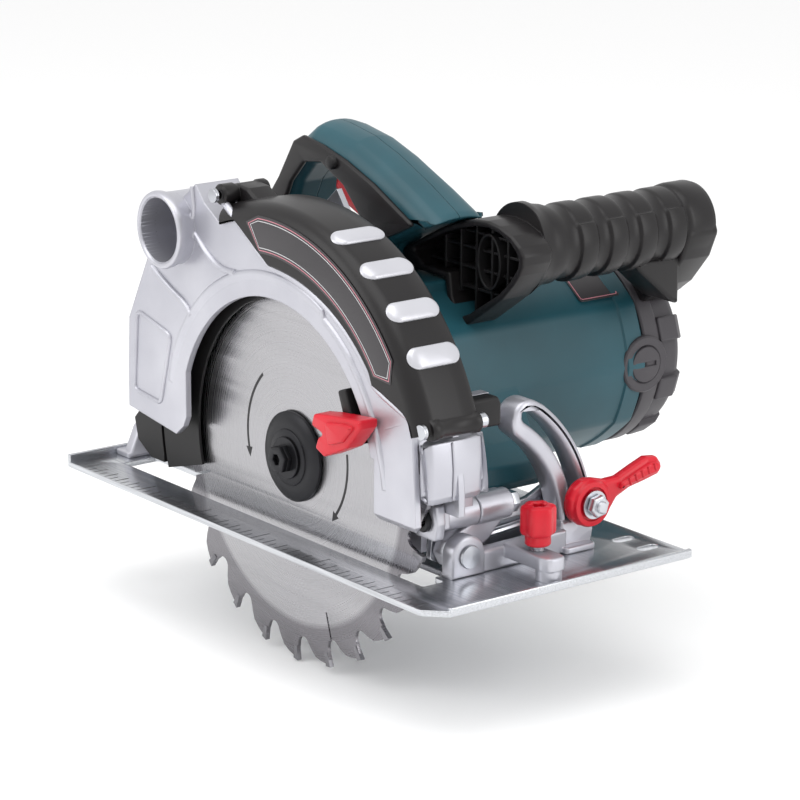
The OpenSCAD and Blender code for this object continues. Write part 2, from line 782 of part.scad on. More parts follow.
module front_handle() {
    color(c_black) difference() {
        union() {
            ycyl(72, 143.5, bar_r, 36, 149.5);
            for (y = [56, 76, 96, 116]) ycyl(72, 143.5, bar_r + 1.4, y, y + 10);
            xz(20, 38) polygon([[3.3, 133.4], [35, 149.2], [59, 157], [78, 156.5], [93, 149.5],
                [96, 142], [88.5, 129], [70, 114.5], [42, 96], [3.3, 120]]);
            xz(128, 149.5) polygon([[54, 150], [53, 133], [58, 120], [40, 101], [50, 92], [60, 99],
                [76, 115], [88, 130], [89, 150]]);
            yz(60, 84) polygon([[102, 130], [129, 108], [129, 130]]);
        }
        xz(15, 34.5) polygon([[9, 133], [36, 146], [60, 153.6], [77, 153], [90, 147.5], [92.4, 142],
            [86, 131], [69, 118.5], [50, 106], [20, 124]]);
        ycyl(mx, mz, motor_r + 1.4, 0, 125);
        box(mx - 20.3, mx + 20.3, -10, 60.4, mz, mz + motor_r + 1.3);
        ycyl(mx, mz, motor_r + 0.6, 124, 160);
        ycyl(72, 143.5, bar_r - 5, 30, 140);
    }
}

module front_handle_screws() {
    color(c_steel) {
        ycyl(60, 108, 2.5, 149.55, 152.5);
    }
}

module spindle_lock_button() {
    color(c_black) {
        box(111, 119.6, -30, -14, 73.5, 87.5);
        box(111, 119.6, -18, -11, 74, 84);
        xcyl(-14.5, 78, 3.2, 92, 111.5);
    }
}

module cord_inlet() {
    color(c_black) difference() {
        translate([-100.3, seam, 104]) rotate([0, -90, 0]) cylinder(r = 9, h = 15.7);
        translate([-90, seam, 104]) rotate([0, -90, 0]) cylinder(r = 4, h = 40);
    }
}

module depth_bolt() {
    color(c_steel) {
        ycyl(dx - arc_r * cos(2), dz + arc_r * sin(2), 3, -35, -8);
        ycyl(dx - arc_r * cos(2), dz + arc_r * sin(2), 6, -16.7, -15.7);
    }
}
module depth_lever() {
    color(c_red) difference() {
        union() {
            ycyl(dx - arc_r * cos(2), dz + arc_r * sin(2), 9, -15.4, -9);
            box(dx - arc_r * cos(2) - 36, dx - arc_r * cos(2), -14, -10, dz + arc_r * sin(2) - 4,
                dz + arc_r * sin(2) + 4);
        }
        ycyl(dx - arc_r * cos(2), dz + arc_r * sin(2), 3.05, -40, 0);
    }
}

sole_plate();
bevel_quadrant();
rear_bevel_bracket();
bevel_pivot_pins();
sole_rivets();
guide_knob();
guide_screw();
tilt_bracket();
tilt_bar();
depth_arc();
bevel_bolt();
bevel_lever();
bevel_washers();
depth_hinge_bolt();
upper_guard();
guard_cover();
cover_label();
cover_ovals();
cover_screws();
guard_bumper();
gear_case();
spindle_bearings();
spindle();
drive_gear();
inner_flange();
blade();
outer_flange();
blade_bolt();
lower_guard();
guard_lever();
guard_clip();
guard_lever_arm();
motor_housing();
end_cap();
stator();
armature_shaft();
armature_core();
armature_windings();
commutator();
cooling_fan();
pinion();
armature_bearings();
brush_holders();
carbon_brushes();
brush_caps();
housing_screws();
handle_shell_right();
handle_shell_left();
handle_grip();
trigger();
lock_off_button();
switch_module();
handle_screws();
front_handle();
front_handle_screws();
spindle_lock_button();
cord_inlet();
depth_bolt();
depth_lever();
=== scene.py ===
import bpy
import bmesh
import json
from math import cos, pi, radians, sin, sqrt, tan
from mathutils import Matrix, Vector


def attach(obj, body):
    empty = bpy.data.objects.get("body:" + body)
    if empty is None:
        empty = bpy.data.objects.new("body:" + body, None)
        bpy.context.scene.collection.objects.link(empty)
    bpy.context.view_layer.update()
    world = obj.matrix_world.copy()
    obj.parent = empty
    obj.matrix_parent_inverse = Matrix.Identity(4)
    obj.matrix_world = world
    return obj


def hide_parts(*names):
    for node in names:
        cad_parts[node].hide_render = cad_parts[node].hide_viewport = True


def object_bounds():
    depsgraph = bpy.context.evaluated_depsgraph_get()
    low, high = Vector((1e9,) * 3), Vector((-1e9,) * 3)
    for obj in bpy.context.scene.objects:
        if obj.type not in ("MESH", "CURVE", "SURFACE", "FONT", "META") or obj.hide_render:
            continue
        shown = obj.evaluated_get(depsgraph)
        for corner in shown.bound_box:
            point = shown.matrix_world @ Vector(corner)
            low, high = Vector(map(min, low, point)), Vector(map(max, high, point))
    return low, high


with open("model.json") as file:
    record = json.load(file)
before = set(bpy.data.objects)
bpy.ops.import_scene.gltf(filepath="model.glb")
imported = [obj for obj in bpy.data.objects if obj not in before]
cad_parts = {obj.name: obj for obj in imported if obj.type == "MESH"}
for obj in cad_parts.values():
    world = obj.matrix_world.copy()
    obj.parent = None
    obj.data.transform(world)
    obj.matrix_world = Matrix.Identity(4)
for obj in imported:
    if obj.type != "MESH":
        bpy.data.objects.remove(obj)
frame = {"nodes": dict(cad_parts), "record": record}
cad_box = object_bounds()
MM = 0.001


# ---------------------------------------------------------------- studio
# A white infinity floor just under the blade, a bright even surround and
# three large soft lamps, as a small product studio would be set.
def linear(code):
    """sRGB hex text to the linear colour that shaders take."""
    parts = [int(code[i:i + 2], 16) / 255 for i in (1, 3, 5)]
    return tuple(c / 12.92 if c <= 0.04045 else ((c + 0.055) / 1.055) ** 2.4 for c in parts) + (1,)


def add_node(tree, kind, inputs=None, **settings):
    """Adds one node; a socket given as an input is linked, anything else is set."""
    made = tree.nodes.new(kind)
    for key, value in settings.items():
        setattr(made, key, value)
    for key, value in (inputs or {}).items():
        if isinstance(value, bpy.types.NodeSocket):
            tree.links.new(value, made.inputs[key])
        else:
            made.inputs[key].default_value = value
    return made


def start_finish(name, colour, roughness, metallic=0.0, **sockets):
    """A material holding one Principled shader, its tree and the shader."""
    made = bpy.data.materials.new(name)
    made.use_nodes = True
    tree = made.node_tree
    tree.nodes.clear()
    shader = add_node(tree, "ShaderNodeBsdfPrincipled", {"Base Color": linear(colour),
                      "Roughness": roughness, "Metallic": metallic})
    for key, value in sockets.items():
        shader.inputs[key.replace("_", " ")].default_value = value
    add_node(tree, "ShaderNodeOutputMaterial", {"Surface": shader.outputs[0]})
    return made, tree, shader


floor_z = cad_box[0][2] - 0.0008
floor_mesh = bpy.data.meshes.new("studio_floor")
floor_mesh.from_pydata([(-9, -9, floor_z), (9, -9, floor_z), (9, 9, floor_z), (-9, 9, floor_z)],
                       [], [(0, 1, 2, 3)])
floor = bpy.data.objects.new("studio_floor", floor_mesh)
bpy.context.collection.objects.link(floor)
floor_mesh.materials.append(start_finish("white_paper_sweep", "#ffffff", 0.9)[0])

world = bpy.data.worlds.new("studio_surround")
bpy.context.scene.world = world
world.use_nodes = True
world.node_tree.nodes["Background"].inputs[0].default_value = (1, 1, 1, 1)
world.node_tree.nodes["Background"].inputs[1].default_value = 0.92
bpy.context.scene.view_settings.view_transform = "Standard"

for lamp_name, place, size, watts in (
        ("overhead_bank", (0.15, -0.25, 1.15), (1.1, 0.9), 6),
        ("left_bank", (-0.55, -1.15, 0.75), (0.7, 0.9), 5),
        ("right_strip", (1.15, 0.55, 0.55), (0.35, 1.1), 4)):
    lamp = bpy.data.lights.new(lamp_name, "AREA")
    lamp.shape = "RECTANGLE"
    lamp.size, lamp.size_y = size
    lamp.energy = watts
    lamp_object = bpy.data.objects.new(lamp_name, lamp)
    lamp_object.location = place
    aim = Vector((0.02, 0.02, 0.06)) - Vector(place)
    lamp_object.rotation_euler = aim.to_track_quat("-Z", "Y").to_euler()
    bpy.context.collection.objects.link(lamp_object)

# The camera: a long lens about 1.7 m off, right of the blade and a little above.
view_turn, view_rise, view_roll = radians(52.34), radians(15.363), radians(0.301)
view_back = Vector((sin(view_turn) * cos(view_rise), -cos(view_turn) * cos(view_rise),
                    sin(view_rise)))
view_right = (-view_back).cross(Vector((0, 0, 1))).normalized()
view_up = view_right.cross(-view_back)
roll_right = view_right * cos(view_roll) + view_up * sin(view_roll)
roll_up = -view_right * sin(view_roll) + view_up * cos(view_roll)
view_distance, shift_right, shift_up = 1712.213, 16.63, 52.516
sole_top = Vector((0, 0, 3))
view_place = (view_back * view_distance + roll_right * shift_right + roll_up * shift_up
              + sole_top) * MM
lens = bpy.data.cameras.new("studio_camera")
lens.sensor_width = 36
lens.lens = 153.46
lens.clip_start = 0.05
camera = bpy.data.objects.new("studio_camera", lens)
camera.matrix_world = Matrix.Translation(view_place) @ Matrix(
    (roll_right, roll_up, view_back)).transposed().to_4x4()
bpy.context.collection.objects.link(camera)
bpy.context.scene.camera = camera


# ---------------------------------------------------------------- sole
# The sole is a 3 mm steel plate, pressed and brushed along its length, with
# the blade window cut out, two guide slots and a ruler along the blade edge.
def polar(centre, r, angle):
    """The point at radius r and an angle in degrees about a centre."""
    return (centre[0] + r * cos(radians(angle)), centre[1] + r * sin(radians(angle)))


def arc(centre, r, start, stop, steps):
    return [polar(centre, r, start + (stop - start) * i / steps) for i in range(steps + 1)]


def rectangle(x0, y0, x1, y1):
    return [(x0, y0), (x1, y0), (x1, y1), (x0, y1)]


def round_corners(points, radius, steps=5):
    """The same outline with each corner turned on a small radius."""
    out = []
    count = len(points)
    for i, here in enumerate(points):
        here = Vector(here[:2])
        before, after = Vector(points[i - 1][:2]), Vector(points[(i + 1) % count][:2])
        a, b = before - here, after - here
        if a.length < 1e-6 or b.length < 1e-6:
            continue
        angle = a.angle(b)
        if angle > radians(172):
            out.append(tuple(here))
            continue
        back = min(radius / tan(angle / 2), 0.45 * a.length, 0.45 * b.length)
        p, q = here + a.normalized() * back, here + b.normalized() * back
        for s in range(steps + 1):
            t = s / steps
            out.append(tuple(p * (1 - t) ** 2 + here * 2 * t * (1 - t) + q * t * t))
    return out


def new_piece(name, mesh, finish=None, smooth=35):
    """Puts a mesh in the scene; edges sharper than smooth degrees stay crisp."""
    if finish is not None:
        mesh.materials.clear()
        mesh.materials.append(finish)
    made = bpy.data.objects.new(name, mesh)
    bpy.context.collection.objects.link(made)
    if smooth:
        mesh.shade_smooth()
        mesh.set_sharp_from_angle(angle=radians(smooth))
    return made


def tidy_mesh(mesh, gap=0.002 * MM):
    """Merges doubled corners, then points every face outwards."""
    work = bmesh.new()
    work.from_mesh(mesh)
    bmesh.ops.remove_doubles(work, verts=work.verts, dist=gap)
    bmesh.ops.recalc_face_normals(work, faces=work.faces)
    work.to_mesh(mesh)
    work.free()


def plain_copy(made, name):
    """The object's shape with its modifiers applied, as a mesh of its own."""
    graph = bpy.context.evaluated_depsgraph_get()
    mesh = bpy.data.meshes.new_from_object(made.evaluated_get(graph))
    mesh.name = name
    data = made.data
    bpy.data.objects.remove(made)
    if data.users == 0:
        (bpy.data.curves if isinstance(data, bpy.types.Curve) else bpy.data.meshes).remove(data)
    return mesh


def plate(name, loops, low, high, edge, across, finish=None):
    """A flat casting or pressing: outlines in mm, filled, with rounded edges.
    across is the axis of its thickness; the first loop is the outside."""
    flat = bpy.data.curves.new(name, "CURVE")
    flat.dimensions = "2D"
    flat.fill_mode = "BOTH"
    flat.extrude = (high - low) / 2 - edge
    flat.bevel_depth = edge
    flat.bevel_resolution = 2
    flat.offset = -edge
    for loop in loops:
        line = flat.splines.new("POLY")
        line.points.add(len(loop) - 1)
        for point, (u, v) in zip(line.points, loop):
            point.co = (u, v, 0, 1)
        line.use_cyclic_u = True
    holder = bpy.data.objects.new(name, flat)
    bpy.context.collection.objects.link(holder)
    mesh = plain_copy(holder, name)
    middle = (high + low) / 2
    for v in mesh.vertices:
        u, w, d = v.co.x, v.co.y, v.co.z + middle
        v.co = Vector({"X": (d, u, w), "Y": (u, d, w), "Z": (u, w, d)}[across]) * MM
    tidy_mesh(mesh)
    return new_piece(name, mesh, finish)


def discard(piece):
    """Removes a piece that was only needed to make another."""
    data = piece.data
    bpy.data.objects.remove(piece)
    bpy.data.meshes.remove(data)


def join(name, parts, finish=None):
    """Several meshes made one piece; each keeps its own finish unless one is given."""
    work = bmesh.new()
    finishes = []
    for part in parts:
        own = list(part.data.materials)
        start = len(work.faces)
        work.from_mesh(part.data)
        work.faces.ensure_lookup_table()
        for face in work.faces[start:]:
            chosen = own[face.material_index] if own else None
            if chosen not in finishes:
                finishes.append(chosen)
            face.material_index = finishes.index(chosen)
    mesh = bpy.data.meshes.new(name)
    work.to_mesh(mesh)
    work.free()
    for part in parts:
        discard(part)
    if finish is None:
        for chosen in finishes:
            mesh.materials.append(chosen)
    return new_piece(name, mesh, finish)


def fit(piece, body, slot, *nodes):
    """Fixes a finished piece to its body and hides the CAD nodes it stands for; slot is not used.
    """
    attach(piece, body)
    if nodes:
        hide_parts(*nodes)


def stretched_noise(tree, size_mm, stretch, **more):
    """Noise on the object's own axes, with lumps size_mm across."""
    place = add_node(tree, "ShaderNodeTexCoord")
    scaled = add_node(tree, "ShaderNodeMapping", {"Vector": place.outputs["Object"],
                      "Scale": stretch})
    return add_node(tree, "ShaderNodeTexNoise", {"Vector": scaled.outputs[0],
                    "Scale": 1000 / size_mm, **more})


def blend_colours(tree, factor, first, second):
    """Mixes two hex colours by a factor socket; gives back the mixed colour."""
    mix = add_node(tree, "ShaderNodeMix", {0: factor, 6: linear(first), 7: linear(second)},
                   data_type="RGBA")
    return mix.outputs[2]


def add_grain(tree, shader, size_mm, height_mm, strength, stretch=(1, 1, 1)):
    """A fine noise bump whose lumps are size_mm across."""
    noise = stretched_noise(tree, size_mm, stretch, Detail=2.0, Roughness=0.55)
    bump = add_node(tree, "ShaderNodeBump", {"Height": noise.outputs["Fac"],
                    "Distance": height_mm * MM, "Strength": strength})
    tree.links.new(bump.outputs[0], shader.inputs["Normal"])


def vary_colour(tree, shader, low, high, size_mm, stretch=(1, 1, 1)):
    """Lets the colour drift between two values over the surface."""
    noise = stretched_noise(tree, size_mm, stretch, Detail=3.0)
    ramp = add_node(tree, "ShaderNodeMapRange", {"Value": noise.outputs["Fac"],
                    "From Min": 0.3, "From Max": 0.7})
    tree.links.new(blend_colours(tree, ramp.outputs[0], low, high), shader.inputs["Base Color"])


def brushed(name, colour, dark, roughness, grain_mm, stretch):
    """Steel drawn over an abrasive belt: long faint lines with the belt's grit."""
    made, tree, shader = start_finish(name, colour, roughness, 1.0)
    add_grain(tree, shader, grain_mm, 0.02, 0.35, stretch)
    vary_colour(tree, shader, dark, colour, grain_mm * 1.6, stretch)
    return made


sole_steel = brushed("belt_brushed_sole_steel", "#d2d4d8", "#b4b6ba", 0.27, 0.5, (0.02, 1, 1))
scale_ink = start_finish("etched_black_marks", "#3c3c40", 0.6)[0]
sole_half_l, sole_half_w, sole_t = 155.0, 79.15, 3.0
outline = [(-sole_half_l, -sole_half_w), (sole_half_l - 10, -sole_half_w),
           (sole_half_l - 0.2, -sole_half_w + 10), (sole_half_l - 0.2, sole_half_w),
           (-sole_half_l, sole_half_w)]
window = [(-135, -57.2), (119, -57.2), (119, -44.4), (111, -44.4), (111, -36), (-135, -36)]


def long_hole(x, y, r, half):
    """A slot with round ends, 2 * half long between their centres."""
    return arc((x, y + half), r, 0, 180, 10) + arc((x, y - half), r, 180, 360, 10)


sole_parts = [
    plate("sole", [round_corners(outline, 2.0), round_corners(window, 2.0),
                   long_hole(120, 66, 3, 3.5), long_hole(137, 67, 3, 3.5)],
          0, sole_t, 0.35, "Z", sole_steel),
    plate("sole_rear_lip", [round_corners(rectangle(-155, 0.2, -152.6, 7), 0.8)],
          -79, 79, 0.4, "Y", sole_steel),
    plate("sole_front_lip", [round_corners(rectangle(152.6, 0.1, 155, 4.4), 0.8)],
          -69, 79, 0.4, "Y", sole_steel)]


# The ruler is etched: a mark each 5 mm, longer each 10, longest each 50.
def ruler_tree():
    tree = bpy.data.node_groups.new("etched_ruler", "GeometryNodeTree")
    for label, kind in (("Marks", "NodeSocketInt"), ("Pitch", "NodeSocketFloat"),
                        ("Width", "NodeSocketFloat"), ("Length", "NodeSocketFloat")):
        tree.interface.new_socket(label, in_out="INPUT", socket_type=kind)
    tree.interface.new_socket("Ink", in_out="INPUT", socket_type="NodeSocketMaterial")
    tree.interface.new_socket("Geometry", in_out="OUTPUT", socket_type="NodeSocketGeometry")
    given = add_node(tree, "NodeGroupInput")
    row = add_node(tree, "GeometryNodeMeshLine", {"Count": given.outputs["Marks"]})
    step = add_node(tree, "ShaderNodeCombineXYZ", {"X": given.outputs["Pitch"]})
    tree.links.new(step.outputs[0], row.inputs["Offset"])
    index = add_node(tree, "GeometryNodeInputIndex")
    tens = add_node(tree, "ShaderNodeMath", {0: index.outputs[0], 1: 2.0}, operation="MODULO")
    fifties = add_node(tree, "ShaderNodeMath", {0: index.outputs[0], 1: 10.0}, operation="MODULO")
    is_ten = add_node(tree, "ShaderNodeMath", {0: tens.outputs[0], 1: 0.5}, operation="LESS_THAN")
    is_fifty = add_node(tree, "ShaderNodeMath", {0: fifties.outputs[0], 1: 0.5},
                        operation="LESS_THAN")
    grow = add_node(tree, "ShaderNodeMath", {0: is_ten.outputs[0], 1: is_fifty.outputs[0]})
    long = add_node(tree, "ShaderNodeMath", {0: grow.outputs[0], 1: 0.45, 2: 0.65},
                    operation="MULTIPLY_ADD")
    sized = add_node(tree, "ShaderNodeMath", {0: long.outputs[0], 1: given.outputs["Length"]},
                     operation="MULTIPLY")
    size = add_node(tree, "ShaderNodeCombineXYZ", {"X": given.outputs["Width"],
                    "Y": sized.outputs[0], "Z": 0.00004})
    half = add_node(tree, "ShaderNodeMath", {0: sized.outputs[0], 1: 0.5}, operation="MULTIPLY")
    shift = add_node(tree, "ShaderNodeCombineXYZ", {"Y": half.outputs[0]})
    moved = add_node(tree, "GeometryNodeSetPosition", {"Geometry": row.outputs[0],
                     "Offset": shift.outputs[0]})
    bar = add_node(tree, "GeometryNodeMeshCube", {"Size": (1, 1, 1)})
    marks = add_node(tree, "GeometryNodeInstanceOnPoints", {"Points": moved.outputs[0],
                     "Instance": bar.outputs[0], "Scale": size.outputs[0]})
    solid = add_node(tree, "GeometryNodeRealizeInstances", {"Geometry": marks.outputs[0]})
    inked = add_node(tree, "GeometryNodeSetMaterial", {"Geometry": solid.outputs[0],
                     "Material": given.outputs["Ink"]})
    add_node(tree, "NodeGroupOutput", {"Geometry": inked.outputs[0]})
    return tree


def from_tree(name, tree, values, shift):
    """Runs a Geometry Nodes tree once and keeps its plain mesh."""
    holder = bpy.data.objects.new(name, bpy.data.meshes.new(name + "_seed"))
    bpy.context.collection.objects.link(holder)
    applied = holder.modifiers.new(name, "NODES")
    applied.node_group = tree
    sockets = {s.name: s.identifier for s in tree.interface.items_tree if s.in_out == "INPUT"}
    for key, value in values.items():
        applied[sockets[key]] = value
    mesh = plain_copy(holder, name)
    mesh.transform(Matrix.Translation(Vector(shift)))
    return new_piece(name, mesh, smooth=0)


ruler = from_tree("sole_ruler", ruler_tree(),
                  {"Marks": 57, "Pitch": 0.005, "Width": 0.0006, "Length": 0.0075,
                   "Ink": scale_ink}, shift=(-0.140, -0.0788, 0.00302))
sole = join("sole_plate_steel", sole_parts)
fit(sole, "base", "sole_steel", "sole_plate")
fit(ruler, "base", "sole_steel")


# ---------------------------------------------------------------- finishes
# The moulded and cast finishes are shared by many parts: die-cast aluminium
# under clear lacquer, moulded polymers with spark-eroded grain, and zinc.


def soften(tree, shader, radius_mm):
    """Rounds the look of machined edges; sits before any grain the finish has."""
    edge = add_node(tree, "ShaderNodeBevel", {"Radius": radius_mm * MM}, samples=4)
    link = shader.inputs["Normal"].links
    if link:
        tree.links.new(edge.outputs[0], link[0].from_node.inputs["Normal"])
    else:
        tree.links.new(edge.outputs[0], shader.inputs["Normal"])


def moulded(name, colour, shade, roughness, grain_mm=0.35, height_mm=0.02, edge_mm=0.6, **more):
    made, tree, shader = start_finish(name, colour, roughness, **more)
    add_grain(tree, shader, grain_mm, height_mm, 0.6)
    vary_colour(tree, shader, shade, colour, 40)
    soften(tree, shader, edge_mm)
    return made


cast_silver = moulded("lacquered_cast_aluminium", "#c3c3ca", "#b4b4bc", 0.34, 0.5, 0.03, 0.9,
                      metallic=0.7)
teal_shell = moulded("teal_glass_filled_nylon", "#1f4f5a", "#1b4650", 0.4, 0.4, 0.012, 0.7,
                     Specular_IOR_Level=0.4)
black_shell = moulded("black_glass_filled_nylon", "#1b1a1b", "#151415", 0.42, 0.4, 0.015, 0.5,
                      Specular_IOR_Level=0.3)
black_grip = moulded("black_overmoulded_rubber", "#1c1a1b", "#181617", 0.36, 0.6, 0.012, 0.8,
                     Specular_IOR_Level=0.32)
grey_shell = moulded("grey_glass_filled_nylon", "#454246", "#3c3a3e", 0.46, 0.45, 0.015, 0.6,
                     Specular_IOR_Level=0.35)
red_shell = moulded("red_acetal", "#cf1228", "#bd0f22", 0.32, 0.5, 0.008, 0.6,
                    Specular_IOR_Level=0.4)
bright_oval = moulded("silver_lacquered_inlay", "#c8c8ce", "#bebec4", 0.28, 0.5, 0.006, 0.4,
                      metallic=0.35)
zinc_steel = moulded("bright_zinc_plated_steel", "#c9cbd0", "#aeb0b6", 0.28, 0.7, 0.01, 0.3,
                     metallic=1.0)
black_oxide = moulded("black_oxide_steel", "#2a2a2d", "#1d1d20", 0.38, 0.6, 0.01, 0.3,
                      metallic=0.7)


# ---------------------------------------------------------------- blade
# The blade is a 1.8 mm disc of tool steel, belt-ground round its centre, with
# 24 teeth, round gullets and 4 expansion slots; carbide tips are brazed on.
hub = (11.4, 40.3)
blade_r = 105.0
bore_r = 15.0
teeth = 24
first_tooth = -73.94


def circle(x, y, r, steps=40):
    return [(x + r * cos(2 * pi * i / steps), y + r * sin(2 * pi * i / steps))
            for i in range(steps)]


def blade_point(t, rho, tooth):
    """A point t mm back along the rim from a tooth's tip and rho mm past the rim."""
    turn = radians(first_tooth + 360 / teeth * tooth) + t / 100
    return (hub[0] + (blade_r + rho) * cos(turn), hub[1] + (blade_r + rho) * sin(turn))


def blade_outline():
    """All teeth and gullets; a gullet in each quarter runs on into a slot."""
    out = []
    for k in range(teeth):
        gullet = [(5.0 + 4.8 * cos(radians(a)), -8.8 + 4.8 * sin(radians(a)))
                  for a in range(180, 331, 15)]
        if k % (teeth // 4) == 0:
            gullet[5:7] = [(4.2, -13.5), (4.4, -27), (5.2, -27.6), (6.0, -27), (5.8, -13.5)]
        for t, rho in ([(-0.6, -0.5), (-0.2, -6.5), (0.2, -8.4)] + gullet
                       + [(11.5, -8), (14.5, -4.8), (18.5, -3.0), (22.8, -1.8)]):
            out.append(blade_point(t, rho, k))
    return out


def ground_steel(name, bright, dull):
    """Grinding lines run round the hub, so the noise only changes with the radius.
    The belt leaves the outer 18 mm of the disc duller."""
    made, tree, shader = start_finish(name, bright, 0.24, 1.0, Anisotropic=0.5)
    place = add_node(tree, "ShaderNodeTexCoord")
    apart = add_node(tree, "ShaderNodeSeparateXYZ", {0: place.outputs["Object"]})
    x = add_node(tree, "ShaderNodeMath", {0: apart.outputs["X"], 1: hub[0] * MM},
                 operation="SUBTRACT")
    z = add_node(tree, "ShaderNodeMath", {0: apart.outputs["Z"], 1: hub[1] * MM},
                 operation="SUBTRACT")
    flat = add_node(tree, "ShaderNodeCombineXYZ", {"X": x.outputs[0], "Y": z.outputs[0]})
    away = add_node(tree, "ShaderNodeVectorMath", {0: flat.outputs[0]}, operation="LENGTH")
    lines = add_node(tree, "ShaderNodeTexNoise", {"W": away.outputs["Value"], "Scale": 1600.0,
                     "Detail": 3.0}, noise_dimensions="1D")
    bump = add_node(tree, "ShaderNodeBump", {"Height": lines.outputs["Fac"],
                    "Distance": 0.006 * MM, "Strength": 0.35})
    tree.links.new(bump.outputs[0], shader.inputs["Normal"])
    rim = add_node(tree, "ShaderNodeMapRange", {"Value": away.outputs["Value"],
                   "From Min": 0.083, "From Max": 0.0865})
    tree.links.new(blend_colours(tree, rim.outputs[0], bright, dull),
                   shader.inputs["Base Color"])
    rough = add_node(tree, "ShaderNodeMapRange", {"Value": lines.outputs["Fac"],
                     "From Min": 0.3, "From Max": 0.7, "To Min": 0.2, "To Max": 0.34})
    tree.links.new(rough.outputs[0], shader.inputs["Roughness"])
    return made


blade_steel = ground_steel("ground_tool_steel", "#a9a8ab", "#7f7d81")
carbide = moulded("sintered_carbide", "#8d8c90", "#77767a", 0.35, 0.3, 0.01, 0.1, metallic=0.9)
blade = plate("saw_blade_body", [blade_outline(), circle(*hub, bore_r, 72)],
              -52.5, -50.7, 0.06, "Y", blade_steel)
tips = []
for tooth in range(teeth):
    tips.append(plate("tip", [[blade_point(t, rho, tooth) for t, rho in
                              ((0, 0), (-0.9, -7.5), (-2.9, -7), (-3.3, -0.6))]],
                      -52.9, -50.3, 0.1, "Y", carbide))
blade = join("saw_blade", [blade] + tips)
fit(blade, "blade_spindle", "blade_steel", "blade")

# Two turning arrows are screen-printed in black on the outer face.
print_ink = start_finish("screen_printed_black", "#1d1c1e", 0.55)[0]


def printed_arc(name, stops, width, head):
    """A printed arc through (radius, angle) stops; head puts a point at its last end."""
    outer, inner = [], []
    for (r0, a0), (r1, a1) in zip(stops, stops[1:]):
        for i in range(17):
            r, a = r0 + (r1 - r0) * i / 16, a0 + (a1 - a0) * i / 16
            for row, reach in ((outer, r + width / 2), (inner, r - width / 2)):
                row.append(polar(hub, reach, a))
    tip = []
    if head:
        r, a = stops[-1]
        step = 7.5 if stops[-1][1] > stops[0][1] else -7.5
        for reach, ahead in ((2.6, 0), (0, step), (-2.6, 0)):
            tip.append(polar(hub, r + reach, a + ahead))
    return plate(name, [outer + tip + inner[::-1]], -52.57, -52.48, 0.0, "Y", print_ink)


arrows = join("blade_arrows", [printed_arc("arrow", [(44.6, 127), (39, 186)], 1.5, True),
                               printed_arc("arrow", [(43.5, 14), (39.8, -33)], 1.5, True)])
fit(arrows, "blade_spindle", "blade_steel")


# ---------------------------------------------------------------- blade clamp
# Two pressed flanges squeeze the blade; a hex socket screw with a loose washer
# holds them. All three are steel with a black oxide finish.


def ring_points(centre, along, radius, depth, steps, lobes=0, wave=0.0):
    """One closed ring about an axis, in mm; lobes and wave give it a wavy edge."""
    out = []
    for i in range(steps):
        t = 2 * pi * i / steps
        r = radius + wave * cos(lobes * t)
        u, v = centre[0] + r * cos(t), centre[1] + r * sin(t)
        out.append({"X": (depth, u, v), "Y": (u, depth, v), "Z": (u, v, depth)}[along])
    return out


def loft(name, rings, finish=None, loop=False, smooth=35):
    """Skins a row of equal closed rings, in mm; its two ends are closed unless it loops."""
    work = bmesh.new()
    rows = [[work.verts.new(Vector(p) * MM) for p in ring] for ring in rings]
    count = len(rings[0])
    for a, b in list(zip(rows, rows[1:])) + ([(rows[-1], rows[0])] if loop else []):
        for i in range(count):
            j = (i + 1) % count
            work.faces.new((a[i], a[j], b[j], b[i]))
    if not loop:
        work.faces.new(rows[0][::-1])
        work.faces.new(rows[-1])
    mesh = bpy.data.meshes.new(name)
    work.to_mesh(mesh)
    work.free()
    tidy_mesh(mesh, 0.0005 * MM)
    return new_piece(name, mesh, finish, smooth)


def turned(name, centre, along, profile, finish=None, loop=False, steps=72, **shape):
    """A lathe-turned part: profile is a row of (radius, depth along the axis) in mm."""
    return loft(name, [ring_points(centre, along, r, d, steps, **shape) for r, d in profile],
                finish, loop)


inner = turned("inner_flange_steel", hub, "Y", [(7.6, -51.9), (14.8, -51.9), (14.9, -50.7),
               (22.0, -50.6), (22.5, -50.1), (22.5, -47.4), (22.1, -47), (7.6, -47)],
               black_oxide, loop=True)
fit(inner, "blade_spindle", "bearing_steel", "inner_flange")
outer = turned("outer_flange_steel", hub, "Y", [(7.6, -52.6), (22.2, -52.6), (22.5, -53.0),
               (22.5, -54.4), (20.6, -55.9), (16.2, -56.3), (14.2, -56.5), (14.0, -57.1),
               (13.5, -57.4), (7.6, -57.4)], black_oxide, loop=True, steps=96)
fit(outer, "blade_spindle", "dark_steel", "outer_flange")

def hexagon(centre, r, turn=0.0):
    return [polar(centre, r, 60 * i + turn) for i in range(6)]


bolt_head, socket = hexagon(hub, 7.2, 12), hexagon(hub, 3.0, 12)
bolt = join("blade_bolt_steel", [
    turned("washer", hub, "Y", [(3, -57.45), (10.2, -57.45), (10.5, -57.8), (10.5, -58.7),
           (10.2, -59), (3, -59)], black_oxide, loop=True),
    plate("head", [round_corners(bolt_head, 0.8)], -61.6, -59.0, 0.15, "Y", black_oxide),
    plate("head_top", [round_corners(bolt_head, 0.8), socket], -64.2, -61.5, 0.5, "Y",
          black_oxide)])
fit(bolt, "blade_spindle", "dark_steel", "blade_bolt")


# ---------------------------------------------------------------- upper guard
# The upper guard is a die-cast aluminium arch; these are its cast-in details:
# the dished ring round the window, stiffening ridges and the dust port's lip.


